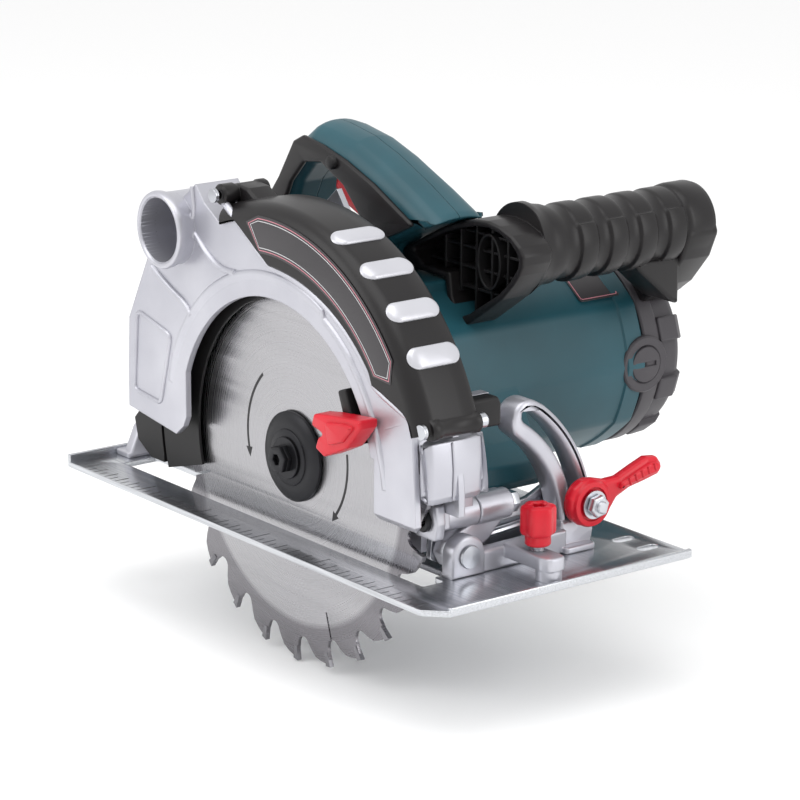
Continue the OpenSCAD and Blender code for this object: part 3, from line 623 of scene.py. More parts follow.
def rod(name, points, radius, finish=None, smooth_path=False):
    """A round bar or a half-sunk ridge along a row of points in mm."""
    line = bpy.data.curves.new(name, "CURVE")
    line.dimensions = "3D"
    line.bevel_depth = radius * MM
    line.bevel_resolution = 3
    line.use_fill_caps = True
    spline = line.splines.new("NURBS" if smooth_path else "POLY")
    spline.points.add(len(points) - 1)
    for point, p in zip(spline.points, points):
        point.co = (*(Vector(p) * MM), 1)
    if smooth_path:
        spline.use_endpoint_u = True
        spline.order_u = 3
    holder = bpy.data.objects.new(name, line)
    bpy.context.collection.objects.link(holder)
    mesh = plain_copy(holder, name)
    tidy_mesh(mesh, 0.0005 * MM)
    return new_piece(name, mesh, finish)


def swept(name, section, start, stop, steps, finish):
    """A section of (radius, y) pairs swept about the blade's axis; section(angle) gives it."""
    rings = []
    for i in range(steps + 1):
        angle = start + (stop - start) * i / steps
        c, s = cos(radians(angle)), sin(radians(angle))
        rings.append([(hub[0] + r * c, y, hub[1] + r * s) for r, y in section(angle)])
    return loft(name, rings, finish)


def dished(angle):
    """Section of the raised ring; it fades out towards both of its ends."""
    fade = min(1.0, (angle - 3) / 12, (168 - angle) / 12)
    rise = max(0.15, fade)
    outer_r = 93.0 - (3.5 if angle < 45 else 3.0 if angle < 62 else 0)
    return [(80.6, -61.9), (80.6, -63.6), (81.2, -64.2), (84.5, -64.6), (88.0, -65.3),
            (outer_r - 2.2, -65.6 - rise), (outer_r - 1.2, -65.6 - 1.15 * rise),
            (outer_r, -65.5 - 0.9 * rise), (outer_r + 0.8, -65.3), (outer_r + 0.8, -61.9)]


def face_line(points, y=-65.5):
    """Points on the guard's outer face, given as (x, z)."""
    return [(x, y, z) for x, z in points]


guard_trim = [swept("dish", dished, 4, 167, 90, cast_silver),
              rod("cover_ledge", face_line([(-28.7, 161.4), (-9, 149), (10.3, 136.0), (22.8, 135.6),
                  (50.4, 128.6), (72.9, 116.2), (88.6, 101.2), (92.2, 95.2), (104, 90.5),
                  (118.5, 86)], -65.6), 1.9, cast_silver, True),
              rod("ridge_low", face_line([(-92.8, 117.5), (-76, 109), (-62.5, 104.5),
                  (-58, 99)]), 1.6, cast_silver, True),
              rod("ridge_high", face_line([(-57, 143), (-43, 132), (-29.2, 127), (-20, 128)]),
                  1.6, cast_silver, True),
              rod("neck", face_line([(-56, 164.5), (-54.6, 156), (-56.1, 147), (-62, 138)]),
                  1.4, cast_silver, True),
              turned("port_lip", (-72, 141), "Y", [(16.25, -66), (16.25, -74.6), (16.9, -75.6),
                     (18.0, -75.9), (19.1, -75.3), (19.6, -74), (19.3, -71.5), (18.3, -69.8),
                     (18.3, -66)], cast_silver, loop=True)]
panel = round_corners([(-107, 92), (-76.5, 85), (-86.5, 47.5), (-110.5, 50)], 4)
guard_trim.append(rod("panel_edge", face_line(panel + panel[:1]), 1.2, cast_silver))
guard_piece = join("upper_guard_cast_details", guard_trim, cast_silver)
fit(guard_piece, "saw_unit", "cast_alloy")


# ---------------------------------------------------------------- guard cover
# A moulded black cover wraps the front of the guard: a flat side, a wide round
# shoulder and a deep rim, held by one screw through a small barrel at each end.
cover_r, bend_r, bend_y = 126.5, 9.0, -58.8
rear_at, front_at = (-30, 165), (128, 81)
inner_edge = [(19, 119.4), (24, 115), (29, 106), (34.3, 98), (38, 99.4), (51, 98.3), (66, 97),
              (83, 96.3), (90.7, 96.5), (96, 103), (100, 109.4), (104, 117), (108, 119.4),
              (111, 119.4)]


def between(table, at):
    """The value of a table of (place, value) rows at a place between its rows."""
    for (a, u), (b, v) in zip(table, table[1:]):
        if at <= b:
            return u + (v - u) * max(0.0, at - a) / (b - a)
    return table[-1][1]


def cover_section(angle):
    """The cover's closed section at an angle round the blade."""
    inside = min(between(inner_edge, angle), 117.4)
    turn = [(cover_r - bend_r + bend_r * sin(radians(a)), bend_y - bend_r * cos(radians(a)))
            for a in range(0, 91, 10)]
    turn = [(r, max(y, -67.9)) for r, y in turn]
    return ([(inside, -65.7), (inside, -67.1), (inside + 0.9, -67.9)] + turn
            + [(cover_r, -44), (126.3, -36.5), (125, -33.6), (120, -33), (119.1, -34), (119.1, -60),
               (117.6, -65.7)])


cover = swept("cover_shell", cover_section, 18.4, 110.5, 110, black_grip)
rear_boss = turned("rear_boss", rear_at, "Y", [(2.1, -67.4), (4.4, -67.5), (5.2, -66.6),
                   (5.2, -60), (4.4, -58.6), (4.4, -46), (5.0, -45), (5.0, -41), (4.4, -40),
                   (2.1, -40)], black_grip, loop=True)
front_boss = turned("front_barrel", front_at, "Y", [(2.1, -61.8), (4.6, -61.9), (5.2, -61),
                    (5.2, -57), (4.6, -56), (4.6, -38), (5.2, -37), (5.2, -34), (4.4, -33),
                    (2.1, -33)], black_grip, loop=True)
rear_web = plate("rear_web", [round_corners([(-33, 160.6), (-20, 157), (-8, 162), (-20, 168.6),
                                             (-31, 169.6)], 2)], -58, -44, 1.6, "Y", black_grip)
fit(join("guard_cover_moulding", [cover, rear_boss, front_boss, rear_web]), "saw_unit",
    "black_rubber", "guard_cover")


def cross(x, y, reach, half):
    """The outline of a four-armed drive: one arm's corner, turned to each quarter."""
    corner = [(reach, half), (half, half), (half, reach)]
    out = []
    for c, s in ((1, 0), (0, 1), (-1, 0), (0, -1)):
        out += [(x + c * u - s * v, y + s * u + c * v) for u, v in corner]
    return out


def drive_head(name, centre, across, face, depth, radius, recess, finish):
    """A screw head that ends at face on the axis' positive side, with its drive there."""
    body = plate(name + "_body", [circle(*centre, radius)], face - depth, face - depth * 0.45,
                 0.12, across, finish)
    top = plate(name + "_top", [circle(*centre, radius), recess], face - depth * 0.5, face, 0.3,
                across, finish)
    return [body, top]


screws = (drive_head("rear_screw", rear_at, "Y", -69.6, 2.2, 3.5, cross(*rear_at, 1.9, 0.4),
                     zinc_steel)
          + drive_head("front_screw", front_at, "Y", -64.2, 2.4, 3.6,
                       cross(*front_at, 2.0, 0.45), zinc_steel))
screws.append(turned("front_pin_end", front_at, "Y", [(3.6, -33), (3.8, -29.4), (3.0, -28.4),
                     (0.05, -28.3)], zinc_steel))
fit(join("cover_screw_set", screws), "saw_unit", "zinc_steel", "cover_screws")

# The label is a stuck-on crescent of dark grey film, edged with fine lines.
label_film = moulded("satin_grey_label_film", "#353235", "#2f2c2f", 0.42, 0.8, 0.004, 0.1)
pink_line = start_finish("pale_red_print", "#c9808c", 0.5)[0]
white_line = start_finish("white_print", "#d8d8da", 0.5)[0]


def crescent(inset):
    """The label's outline, drawn in by inset mm."""
    top = [(120.6 - inset, a) for a in range(36, 96, 2)]
    low = [(102.4 + inset, a) for a in range(36, 96, 2)]
    points = ([(113 - inset * 0.3, 31.5 + inset * 0.7)] + top
              + [(117 - inset * 0.4, 99 - inset * 0.7)] + low[::-1])
    return [polar(hub, r, a) for r, a in points]


label = [plate("film", [crescent(0)], -68.12, -67.86, 0.08, "Y", label_film),
         plate("pink", [crescent(1.2), crescent(1.6)], -68.18, -68.1, 0.0, "Y", pink_line),
         plate("white", [crescent(2.5), crescent(2.8)], -68.18, -68.1, 0.0, "Y", white_line)]
fit(join("cover_label_film", label), "saw_unit", "label_grey", "cover_label")


# Four domed silver inlays are bonded over the shoulder of the cover.
def inlay(turn):
    """One domed oval, bent over the cover's shoulder at an angle."""
    rings = []
    for grow in (1.0, 1.0, 0.93, 0.8, 0.6, 0.35, 0.05):
        ring = []
        lift = 0.3 + 1.5 * sqrt(max(0.0, 1 - grow ** 3)) - (0.6 if not rings else 0)
        for i in range(48):
            t = 2 * pi * i / 48
            along = (9.2 if cos(t) > 0 else -9.2) + 5.4 * cos(t)
            across = 5.4 * sin(t)
            y, side = -49.2 + along * grow, across * grow
            if y > bend_y:
                r = cover_r + lift
            else:
                bend = (bend_y - y) / bend_r
                r = cover_r - bend_r + (bend_r + lift) * cos(bend)
                y = bend_y - (bend_r + lift) * sin(bend)
            a = radians(turn) + side / cover_r
            ring.append((hub[0] + r * cos(a), y, hub[1] + r * sin(a)))
        rings.append(ring)
    return loft("inlay", rings, bright_oval, smooth=50)


fit(join("cover_inlays", [inlay(t) for t in (68.6, 57.1, 45.6, 34.6)]), "saw_unit",
    "silver_plastic", "cover_ovals")


# ---------------------------------------------------------------- guard lever
# The red pull lever of the lower guard is acetal, moulded in one piece with a
# fishtail grip, and rides on a black arm that is part of the lower guard.
fishtail = [(58.2, 70.6), (60.2, 76.6), (69.7, 78.2), (83.5, 79.8), (96.8, 81.2), (97.0, 77.4),
            (91.5, 71.3), (86.2, 65.6), (77, 61.2), (68.2, 57.4), (61.4, 60.2), (63.6, 65.6),
            (67.4, 68.2), (63.8, 69.4)]
lever = plate("lever_body", [round_corners(fishtail, 1.8)], -77.5, -66.6, 1.4, "Y", red_shell)
lever_top = plate("lever_pad", [round_corners([(74, 64.5), (71.5, 75.4), (84.5, 77.6),
                                               (94, 77.8), (85, 68.6)], 1.6)], -79.4, -75, 1.2, "Y",
                  red_shell)
fit(join("guard_lever_acetal", [lever, lever_top]), "lower_guard_body", "red_plastic",
    "guard_lever")
arm = plate("lever_arm", [round_corners([(64.5, 87), (70.5, 89.4), (76.5, 75), (76, 70),
                                         (72, 68.5)], 1.5)], -66.4, -60.4, 0.8, "Y", black_shell)
fit(arm, "lower_guard_body", "black_plastic")


# ---------------------------------------------------------------- motor housing
# The motor barrel is a glass-filled nylon moulding, ten-sided with rounded
# corners, with a foot at the front, a flat pad on top and a raised end band.
motor = (15.7, 70.5)
barrel_r, sides, flatness = 51.6, 10, 0.55


def barrel_ring(y, grow):
    """The barrel's outline at y; flatness 1 would be a sharp polygon and 0 a circle."""
    ring = []
    for i in range(120):
        t = 2 * pi * i / 120
        off = (t + pi / sides) % (2 * pi / sides) - pi / sides
        flat = (barrel_r + grow) * cos(pi / sides) / cos(pi / sides - abs(off))
        r = (barrel_r + grow) * (1 - flatness) + flat * flatness
        ring.append((motor[0] + r * cos(t), y, motor[1] + r * sin(t)))
    return ring


barrel = loft("barrel", [barrel_ring(y, g) for y, g in (
    (-6, -3.5), (-5.2, -1.2), (-3.5, -0.2), (-1, 0), (40, 0), (80, 0), (121, 0), (123.6, -0.1),
    (124.8, -0.8))], teal_shell)
foot = plate("foot", [round_corners([(40, 27), (84, 27), (89, 32), (88.6, 41), (79, 50),
                                     (66, 74), (40, 64)], 3)], -5, 43, 2.5, "Y", teal_shell)
top_rib = plate("top_pad", [round_corners([(-4, 112), (-4, 122.6), (35.4, 122.6), (35.4, 112)],
                                          2)], -5.5, 60, 1.0, "Y", teal_shell)
edge_band = loft("edge_band", [barrel_ring(y, g) for y, g in (
    (112.5, 0.1), (113.2, 0.9), (123.4, 0.9), (124.4, 0.1))], teal_shell)
fit(join("motor_housing_moulding", [barrel, foot, top_rib, edge_band]), "saw_unit",
    "teal_plastic", "motor_housing")


# A blank grey rating plate with a pale red border is bonded to the barrel.
def on_barrel(piece_name, loops, lift, thick, finish, lean):
    """A thin plate laid on the barrel's flank; loops are (across, along) in mm."""
    made = plate(piece_name, loops, 0, thick, min(0.1, thick / 3), "Z", finish)
    spin = Matrix.Rotation(radians(90 - lean), 4, "Y")
    shift = Vector((motor[0], 0, motor[1])) * MM
    made.data.transform(Matrix.Translation(shift) @ spin @ Matrix.Translation(
        Vector((0, 0, lift * MM))))
    return made


badge = join("rating_plate", [
    on_barrel("plate", [round_corners(rectangle(-11, 92, 11, 118), 2)], 50.2,
              0.5, label_film, 54),
    on_barrel("edge", [round_corners(rectangle(-10, 93, 10, 117), 1.6),
                       round_corners(rectangle(-9.5, 93.5, 9.5, 116.5), 1.3)],
              50.72, 0.05, pink_line, 54)])
fit(badge, "saw_unit", "label_grey")

# The end cap is grey nylon, stepped and ribbed, with a grille over the bearing.
cap_parts = [turned("cap", motor, "Y", [(46, 125.2), (50.6, 125.2), (51.4, 126), (51.4, 134),
                    (50.4, 135.6), (48.8, 137), (48.6, 147), (47.4, 150.2), (44, 153.4),
                    (40.5, 154.6), (13, 154.8), (11.5, 154.2), (6, 154), (6, 150), (40, 150),
                    (46, 140)], grey_shell, loop=True, steps=120)]


def ring_tree():
    """Copies a shape round the Y axis: Count copies, the first turned by Start."""
    tree = bpy.data.node_groups.new("copies_round_an_axis", "GeometryNodeTree")
    for label, kind in (("Shape", "NodeSocketObject"), ("Count", "NodeSocketInt"),
                        ("Start", "NodeSocketFloat"), ("Finish", "NodeSocketMaterial")):
        tree.interface.new_socket(label, in_out="INPUT", socket_type=kind)
    tree.interface.new_socket("Geometry", in_out="OUTPUT", socket_type="NodeSocketGeometry")
    given = add_node(tree, "NodeGroupInput")
    shape = add_node(tree, "GeometryNodeObjectInfo", {"Object": given.outputs["Shape"]})
    row = add_node(tree, "GeometryNodeMeshLine", {"Count": given.outputs["Count"],
                   "Offset": (0, 0, 0)})
    index = add_node(tree, "GeometryNodeInputIndex")
    step = add_node(tree, "ShaderNodeMath", {0: 2 * pi, 1: given.outputs["Count"]},
                    operation="DIVIDE")
    angle = add_node(tree, "ShaderNodeMath", {0: index.outputs[0], 1: step.outputs[0],
                     2: given.outputs["Start"]}, operation="MULTIPLY_ADD")
    turn = add_node(tree, "ShaderNodeCombineXYZ", {"Y": angle.outputs[0]})
    copies = add_node(tree, "GeometryNodeInstanceOnPoints", {"Points": row.outputs[0],
                      "Instance": shape.outputs["Geometry"], "Rotation": turn.outputs[0]})
    solid = add_node(tree, "GeometryNodeRealizeInstances", {"Geometry": copies.outputs[0]})
    named = add_node(tree, "GeometryNodeSetMaterial", {"Geometry": solid.outputs[0],
                     "Material": given.outputs["Finish"]})
    add_node(tree, "NodeGroupOutput", {"Geometry": named.outputs[0]})
    return tree


copies_round = ring_tree()


def ring_of(name, shape, count, start, finish, centre):
    """Count copies of a shape about the Y axis through centre; the shape itself goes."""
    made = from_tree(name, copies_round, {"Shape": shape, "Count": count,
                     "Start": radians(start), "Finish": finish},
                     shift=(centre[0] * MM, 0, centre[1] * MM))
    discard(shape)
    return made


rib = plate("cap_rib", [round_corners([(40, 136), (51.3, 136), (51.4, 139), (50.8, 148),
                                       (47.5, 152.6), (40, 154)], 1.2)], -6.2, 6.2, 0.9, "Z")
cap_parts.append(ring_of("cap_ribs", rib, 10, 18, grey_shell, motor))
grille_bar = plate("grille_bar", [round_corners(rectangle(16, 154.2, 36, 155.6), 0.5)],
                   -1.1, 1.1, 0.3, "Z")
cap_parts.append(ring_of("grille_bars", grille_bar, 18, 0, grey_shell, motor))
fit(join("end_cap_moulding", cap_parts), "saw_unit", "grey_plastic", "end_cap")

# Each carbon brush sits behind a round slotted screw cap in a raised collar.
brush_y = 124.8
brush_parts = []
for side in (-1, 1):
    x = motor[0] + side * 53.2
    brush_parts.append(turned("collar", (brush_y, motor[1]), "X", [(9.3, x - side * 8),
                       (14.6, x - side * 8), (14.6, x - side * 2.4), (13.8, x - side * 1.6),
                       (10.2, x - side * 1.6), (9.3, x - side * 2.4)], grey_shell, loop=True))
    coin_slot = rectangle(brush_y - 6.6, motor[1] - 1.1, brush_y + 6.6, motor[1] + 1.1)
    low, high = sorted((x - side * 3.2, x - side * 0.9))
    brush_parts.append(plate("cap_face", [circle(brush_y, motor[1], 9.2), coin_slot], low, high,
                             0.5, "X", grey_shell))
    low, high = sorted((x - side * 8, x - side * 3.0))
    brush_parts.append(plate("cap_body", [circle(brush_y, motor[1], 9.2)], low, high, 0.3, "X",
                             black_shell))
fit(join("brush_cap_set", brush_parts), "saw_unit", "grey_plastic", "brush_caps")


# ---------------------------------------------------------------- rear handle
# The D-shaped rear handle is moulded in two nylon halves, screwed together on
# the seam, with a rubber frame overmoulded round the opening on both sides.
seam = 16.0
hand_loop = [(-1, 148), (-17, 163), (-35, 171.5), (-48, 169.5), (-59, 158), (-70, 136),
             (-79, 113), (-68, 104), (-38, 104), (-16, 116), (-4, 128)]
hand_outside = [(-47, 191), (-36, 190.5), (-15, 187), (5, 180.6), (30, 169.8), (50, 159.8),
                (53, 157.2), (35, 150), (3, 135.4),
                (1, 122.9), (-14, 121), (-20, 112), (-36.2, 88), (-38, 78), (-60, 78), (-90, 86),
                (-104, 98), (-104, 118), (-88, 142), (-72, 161), (-58, 182)]


def shrink(points, by):
    """Moves every corner of an outline inwards by the same distance."""
    area = sum(points[i - 1][0] * p[1] - p[0] * points[i - 1][1] for i, p in enumerate(points))
    way = 1 if area > 0 else -1
    out = []
    for i, p in enumerate(points):
        a = (Vector(p) - Vector(points[i - 1])).normalized()
        b = (Vector(points[(i + 1) % len(points)]) - Vector(p)).normalized()
        inward = Vector((-(a.y + b.y), a.x + b.x)).normalized() * way
        out.append(tuple(Vector(p) + inward * by))
    return out


outside, inside_loop = round_corners(hand_outside, 9, 8), round_corners(hand_loop, 9, 8)


def crown(piece):
    """Domes the handle's outside: the further from the seam, the lower its top."""
    work = bmesh.new()
    work.from_mesh(piece.data)
    for gap in (-10, -7, -4, -1.5, 1.5, 4, 7, 10):
        bmesh.ops.bisect_plane(work, geom=work.verts[:] + work.edges[:] + work.faces[:],
                               plane_co=(0, (seam + gap) * MM, 0), plane_no=(0, 1, 0))
    for v in work.verts:
        x, y, z = [c / MM for c in v.co]
        off = min(1.0, abs(y - seam) / 17)
        high = max(0.0, min(1.0, (z - 171 + 0.3 * (x + 20) * (x > -20)) / 16))
        v.co.z -= 6.5 * off ** 2.4 * high * MM
    work.to_mesh(piece.data)
    work.free()


def halve(piece, name, at, keep):
    """Cuts a moulding on its seam plane y = at and keeps one side, closed."""
    work = bmesh.new()
    work.from_mesh(piece.data)
    geometry = work.verts[:] + work.edges[:] + work.faces[:]
    cut = bmesh.ops.bisect_plane(work, geom=geometry, plane_co=(0, at * MM, 0),
                                 plane_no=(0, keep, 0), clear_inner=True)
    rim = [e for e in cut["geom_cut"] if isinstance(e, bmesh.types.BMEdge)]
    bmesh.ops.triangle_fill(work, use_beauty=True, edges=rim)
    mesh = bpy.data.meshes.new(name)
    work.to_mesh(mesh)
    work.free()
    tidy_mesh(mesh)
    return new_piece(name, mesh, teal_shell)


whole = plate("handle_whole", [outside, inside_loop], -1.0, 33.0, 6.0, "Y")
crown(whole)
half_right = halve(whole, "half_right", seam - 0.15, -1)
half_left = halve(whole, "half_left", seam + 0.15, 1)
discard(whole)
fit(half_right, "saw_unit", "teal_plastic", "handle_shell_right")
fit(half_left, "saw_unit", "teal_plastic", "handle_shell_left")
seam_strip = plate("handle_seam_strip", [round_corners(shrink(hand_outside, 1.0), 9, 8),
                   round_corners(shrink(hand_loop, -1.0), 9, 8)], seam - 0.3,
                   seam + 0.3, 0.05, "Y", black_shell)
fit(seam_strip, "saw_unit", "black_plastic")
frame_loop = [(-50, 184), (-34, 181.5), (-15, 176.8), (8, 168.6), (40, 153.6), (33, 150.2),
              (4, 136.8), (0.2, 148),
              (-16.4, 164), (-35, 172.6), (-48.8, 170.6), (-60.2, 158.6), (-71.3, 136.4),
              (-81, 114), (-100.5, 113), (-86, 141), (-71, 159.7), (-58, 180)]
grip_frame = plate("grip_frame", [round_corners(frame_loop, 3.2, 6)], -3.4, -0.4, 1.3, "Y",
                   black_grip)
grip_frame_left = plate("grip_frame_left", [round_corners(frame_loop, 3.2, 6)], 32.4, 34.4, 0.9,
                        "Y", black_grip)
fit(join("handle_overmould", [grip_frame, grip_frame_left]), "saw_unit",
    "black_rubber", "handle_grip")
handle_screw_parts = []
for x, z in ((-76, 93), (-50, 88)):
    handle_screw_parts += drive_head("shell_screw", (x, z), "Y", -1.9, 2.0, 3.4,
                                     cross(x, z, 1.9, 0.4), zinc_steel)
fit(join("handle_screw_heads", handle_screw_parts), "saw_unit", "zinc_steel")

# The switch trigger is red acetal with a curved finger face.
trigger_side = [(-38, 167), (-29, 164.6), (-20, 160.2), (-11, 154.6), (-4, 149.4), (-2, 145),
                (-6, 142.5), (-13, 143.5), (-21, 146.5), (-29, 149.5), (-36, 153),
                (-40, 158)]
trigger = plate("trigger_acetal", [round_corners(trigger_side, 1.5, 4)], 9.2, 22.8, 2.2, "Y",
                red_shell)
fit(trigger, "trigger_body", "red_plastic", "trigger")
button = turned("lock_off_button_nylon", (-24, 174.4), "Y", [(3.5, 5.2), (3.5, -5.0), (3.1, -5.7),
                (2.0, -6.0), (0.05, -6.1)], black_shell)
fit(button, "lock_off", "black_plastic", "lock_off_button")

# The cord's inlet is a flexible rubber gland with strain-relief rings.
gland = [(9.0, -100.3), (9.0, -103.4)]
for step in range(4):
    gland += [(7.0, -103.9 - 3 * step), (6.7, -104.9 - 3 * step), (8.2 - 0.3 * step,
              -105.3 - 3 * step), (8.2 - 0.3 * step, -106.5 - 3 * step)]
gland += [(6.2, -116), (4.0, -116), (4.0, -100.3)]
fit(turned("cord_gland_rubber", (16, 104), "X", gland, black_grip, loop=True), "saw_unit",
    "black_rubber", "cord_inlet")


# ---------------------------------------------------------------- front handle
# The front handle is one black moulding: an open ribbed flange by the guard,
# a bar with four finger rings, and a strut down to the motor at its far end.
flange_out = [(3.3, 133.4), (20, 142.2), (35, 149.6), (47, 154), (59, 157.4), (69, 158.2),
              (78, 157), (87, 154), (93.5, 149.5), (96.3, 145.5), (96, 141), (93, 135.5),
              (88.5, 129.8), (80, 121.5), (70, 114.5), (56, 105), (44, 98.5), (38.2, 112),
              (36.5, 124.0), (3.3, 124.0)]
flange_in = [(10.5, 134.2), (22, 140.2), (36, 146.4), (48, 150.9), (60, 153.9), (69, 154.7),
             (77.5, 153.4), (85.5, 150.4), (90.3, 146.6), (92.4, 143), (91.6, 139),
             (86, 131.4), (77.5, 123.6), (68.5, 118), (55, 109.6), (46.5, 106), (41.8, 116),
             (40, 127.6), (20, 128)]
flange_wall = plate("flange_wall", [round_corners(flange_out, 3), round_corners(flange_in, 2)],
                    19.6, 37.6, 1.2, "Y", black_grip)
flange_back = plate("flange_back", [round_corners(shrink(flange_out, 0.6), 3)], 34.4, 38.4, 1.4,
                    "Y", black_grip)
handle_parts = [flange_wall, flange_back]
for x in (30, 42, 54, 66, 78):
    top = between([(22, 140), (36, 146), (48, 150.5), (60, 153.5), (78, 153)], x)
    low = between([(30, 127.9), (40, 127.4), (44, 111), (55, 109.8), (68.5, 118), (78, 124)], x)
    handle_parts.append(plate("rib", [rectangle(x - 0.7, low - 1, x + 0.7, top + 1)],
                              25, 35.2, 0.3, "Y", black_shell))
for z in (121, 131, 141, 149):
    left = between([(118, 43), (128, 22), (134, 12), (140, 24), (152, 52)], z)
    right = between([(118, 68.5), (124, 78), (131.4, 86), (141, 91.6), (150, 85)], z)
    handle_parts.append(plate("rib", [rectangle(left, z - 0.7, right, z + 0.7)],
                              26, 35.2, 0.3, "Y", black_shell))


def ellipse(x, z, across, up):
    return [(x + across * cos(t * pi / 16), z + up * sin(t * pi / 16)) for t in range(32)]


handle_parts.append(plate("oval_rib", [ellipse(66, 137, 9, 14), ellipse(66, 137, 7.6, 12.6)],
                          23, 35.2, 0.3, "Y", black_shell))

bar_at = (72, 143.5)
bar_profile = [(30.5, 37.4), (27.5, 39.4), (24.0, 42.4), (21.4, 46), (19.6, 50)]
for ring_y in (54, 73, 92, 111):
    bar_profile += [(18.0, ring_y), (18.0, ring_y + 5.4), (18.3, ring_y + 6.2),
                    (19.9, ring_y + 7.2), (20.2, ring_y + 8.4), (20.2, ring_y + 15.4),
                    (19.8, ring_y + 17), (18.4, ring_y + 18.2)]
bar_profile += [(18.4, 130), (19.4, 131.4), (19.8, 134), (19.8, 145), (18.8, 148.2),
                (16.4, 149.8), (0.05, 150.2)]
bar_rings = []
for r, y in bar_profile:
    ring = []
    for i in range(96):
        t = 2 * pi * i / 96
        raised = max(0.0, r - 18.4) if 52 < y < 130 else 0.0
        side = 0.5 + 0.5 * sin(t - 0.35)
        reach = (r - raised) + raised * (1.0 if side < 0.62 else 0.25)
        if y < 50:
            reach = 18.4 + (r - 18.4) * (0.55 + 0.45 * cos(t - pi))
            reach = min(reach, 22.0 if sin(t) > 0.2 else reach)
        ring.append((bar_at[0] + reach * cos(t), y, bar_at[1] + reach * sin(t)))
    bar_rings.append(ring)
handle_parts.append(loft("bar", bar_rings, black_grip, smooth=50))
strut = [(53, 148), (52.6, 133), (57.5, 120), (50, 110), (38, 99.5), (33, 93), (37, 91.2),
         (46, 95.6), (58.5, 100.5), (74, 112), (86.5, 127), (92, 140), (88, 150)]
handle_parts.append(plate("strut", [round_corners(strut, 4)], 129, 149.8, 2.4, "Y", black_grip))
gusset = plate("gusset", [round_corners([(99, 129), (131, 129), (131, 104), (126, 106)], 3)],
               60, 84, 2.0, "X", black_grip)
handle_parts.append(gusset)
handle_parts.append(rod("part_line", [(bar_at[0] - 18.6, y, bar_at[1] + 0.5)
                        for y in (52, 148)], 0.5, black_grip))
fit(join("front_handle_moulding", handle_parts), "saw_unit", "black_rubber", "front_handle")
fit(join("front_handle_screw_heads", drive_head("strut_screw", (60, 108), "Y", 152.2, 2.4, 3.8,
    cross(60, 108, 2.0, 0.45), zinc_steel)), "saw_unit", "zinc_steel", "front_handle_screws")


# ---------------------------------------------------------------- front casting
# Below the cover's end the guard carries a cast nose with rounded corners; the
# hinge barrel of the depth adjustment hangs under it, with its bolt and nut.
hinge_at = (109.5, 31.5)
nose = [polar(hub, 112.4, a) for a in (2, 6, 10, 14, 17)]
nose += [(120.5, 75), (125.8, 73), (127.3, 60), (127, 47), (125.6, 43.6)]
nose_cast = plate("nose", [round_corners(nose, 1.5)], -62, -26.4, 5.0, "Y", cast_silver)
nose_line = rod("nose_line", [(127.4, -46, 45), (127.6, -46, 60), (126.3, -46, 72.5)], 0.45,
                cast_silver)
hinge = turned("hinge_barrel", hinge_at, "Y", [(3.6, -44.5), (6.9, -44.5), (7.3, -44),
               (7.3, -21.4), (6.9, -20.9), (3.6, -20.9)], cast_silver, loop=True)
lug = plate("hinge_lug", [round_corners([(101.5, 22.5), (117.5, 22.5), (119, 31), (118, 40.5),
                                         (101.5, 40.5)], 2.5), circle(*hinge_at, 4.2)],
            -49, -43.6, 0.8, "Y", cast_silver)
fit(join("nose_casting", [nose_cast, nose_line, hinge, lug]), "saw_unit", "cast_alloy")
hinge_bolt = [turned("shank", hinge_at, "Y", [(3.5, -46), (3.5, 4), (0.05, 4.1)],
                     zinc_steel)]
hinge_bolt.append(turned("socket_head", hinge_at, "Y", [(0.05, -47.4), (2.9, -47.4),
                  (2.9, -51.0), (4.9, -51.2), (5.6, -50.6), (5.6, -46.2), (3.4, -46)],
                  black_oxide))
hinge_bolt.append(plate("hinge_nut", [round_corners(hexagon(hinge_at, 5.6), 0.6)], 0.3, 5, 0.5,
                        "Y", zinc_steel))
fit(join("depth_hinge_hardware", hinge_bolt), "tilt_frame", "zinc_steel", "depth_hinge_bolt")

# The spindle lock is a black nylon block pressed in from the front.
lock_piece = plate("spindle_lock_nylon", [round_corners([(-30, 74), (-12, 73.6), (-12, 84.5),
                                                         (-14, 88), (-30, 88)], 1.6)], 111, 120.2,
                   1.4, "X", black_shell)
fit(lock_piece, "spindle_lock", "black_plastic", "spindle_lock_button")


# ---------------------------------------------------------------- bevel quadrant
# The bevel quadrant is one aluminium casting: a slotted arc, a rounded ear for
# the front pivot, a low wall between them and the bridge of the guide clamp.
pivot = (-31, 13)
clamp_at = polar(pivot, 72, 11.5)
seat = sole_t + 0.02
arc_end = polar(pivot, 70.5, 56)
knob_at = (136, -2)
ear_r = 9.8
arc_outer = ([polar(pivot, 81, a) for a in range(-5, 54, 2)]
             + [polar(arc_end, 10, t) for t in range(62, 222, 12)]
             + [polar(pivot, 60.5, a) for a in range(52, -6, -2)])
arc_outer = [(u, max(v, seat)) for u, v in arc_outer]
slot_loop = ([polar(pivot, 75.4, a) for a in range(10, 58, 2)]
             + [polar(pivot, 75.2, 57.8), polar(pivot, 74.3, 59.2), polar(pivot, 72, 60.2),
                polar(pivot, 69.7, 59.2), polar(pivot, 68.8, 57.8)]
             + [polar(pivot, 68.6, a) for a in range(56, 9, -2)])
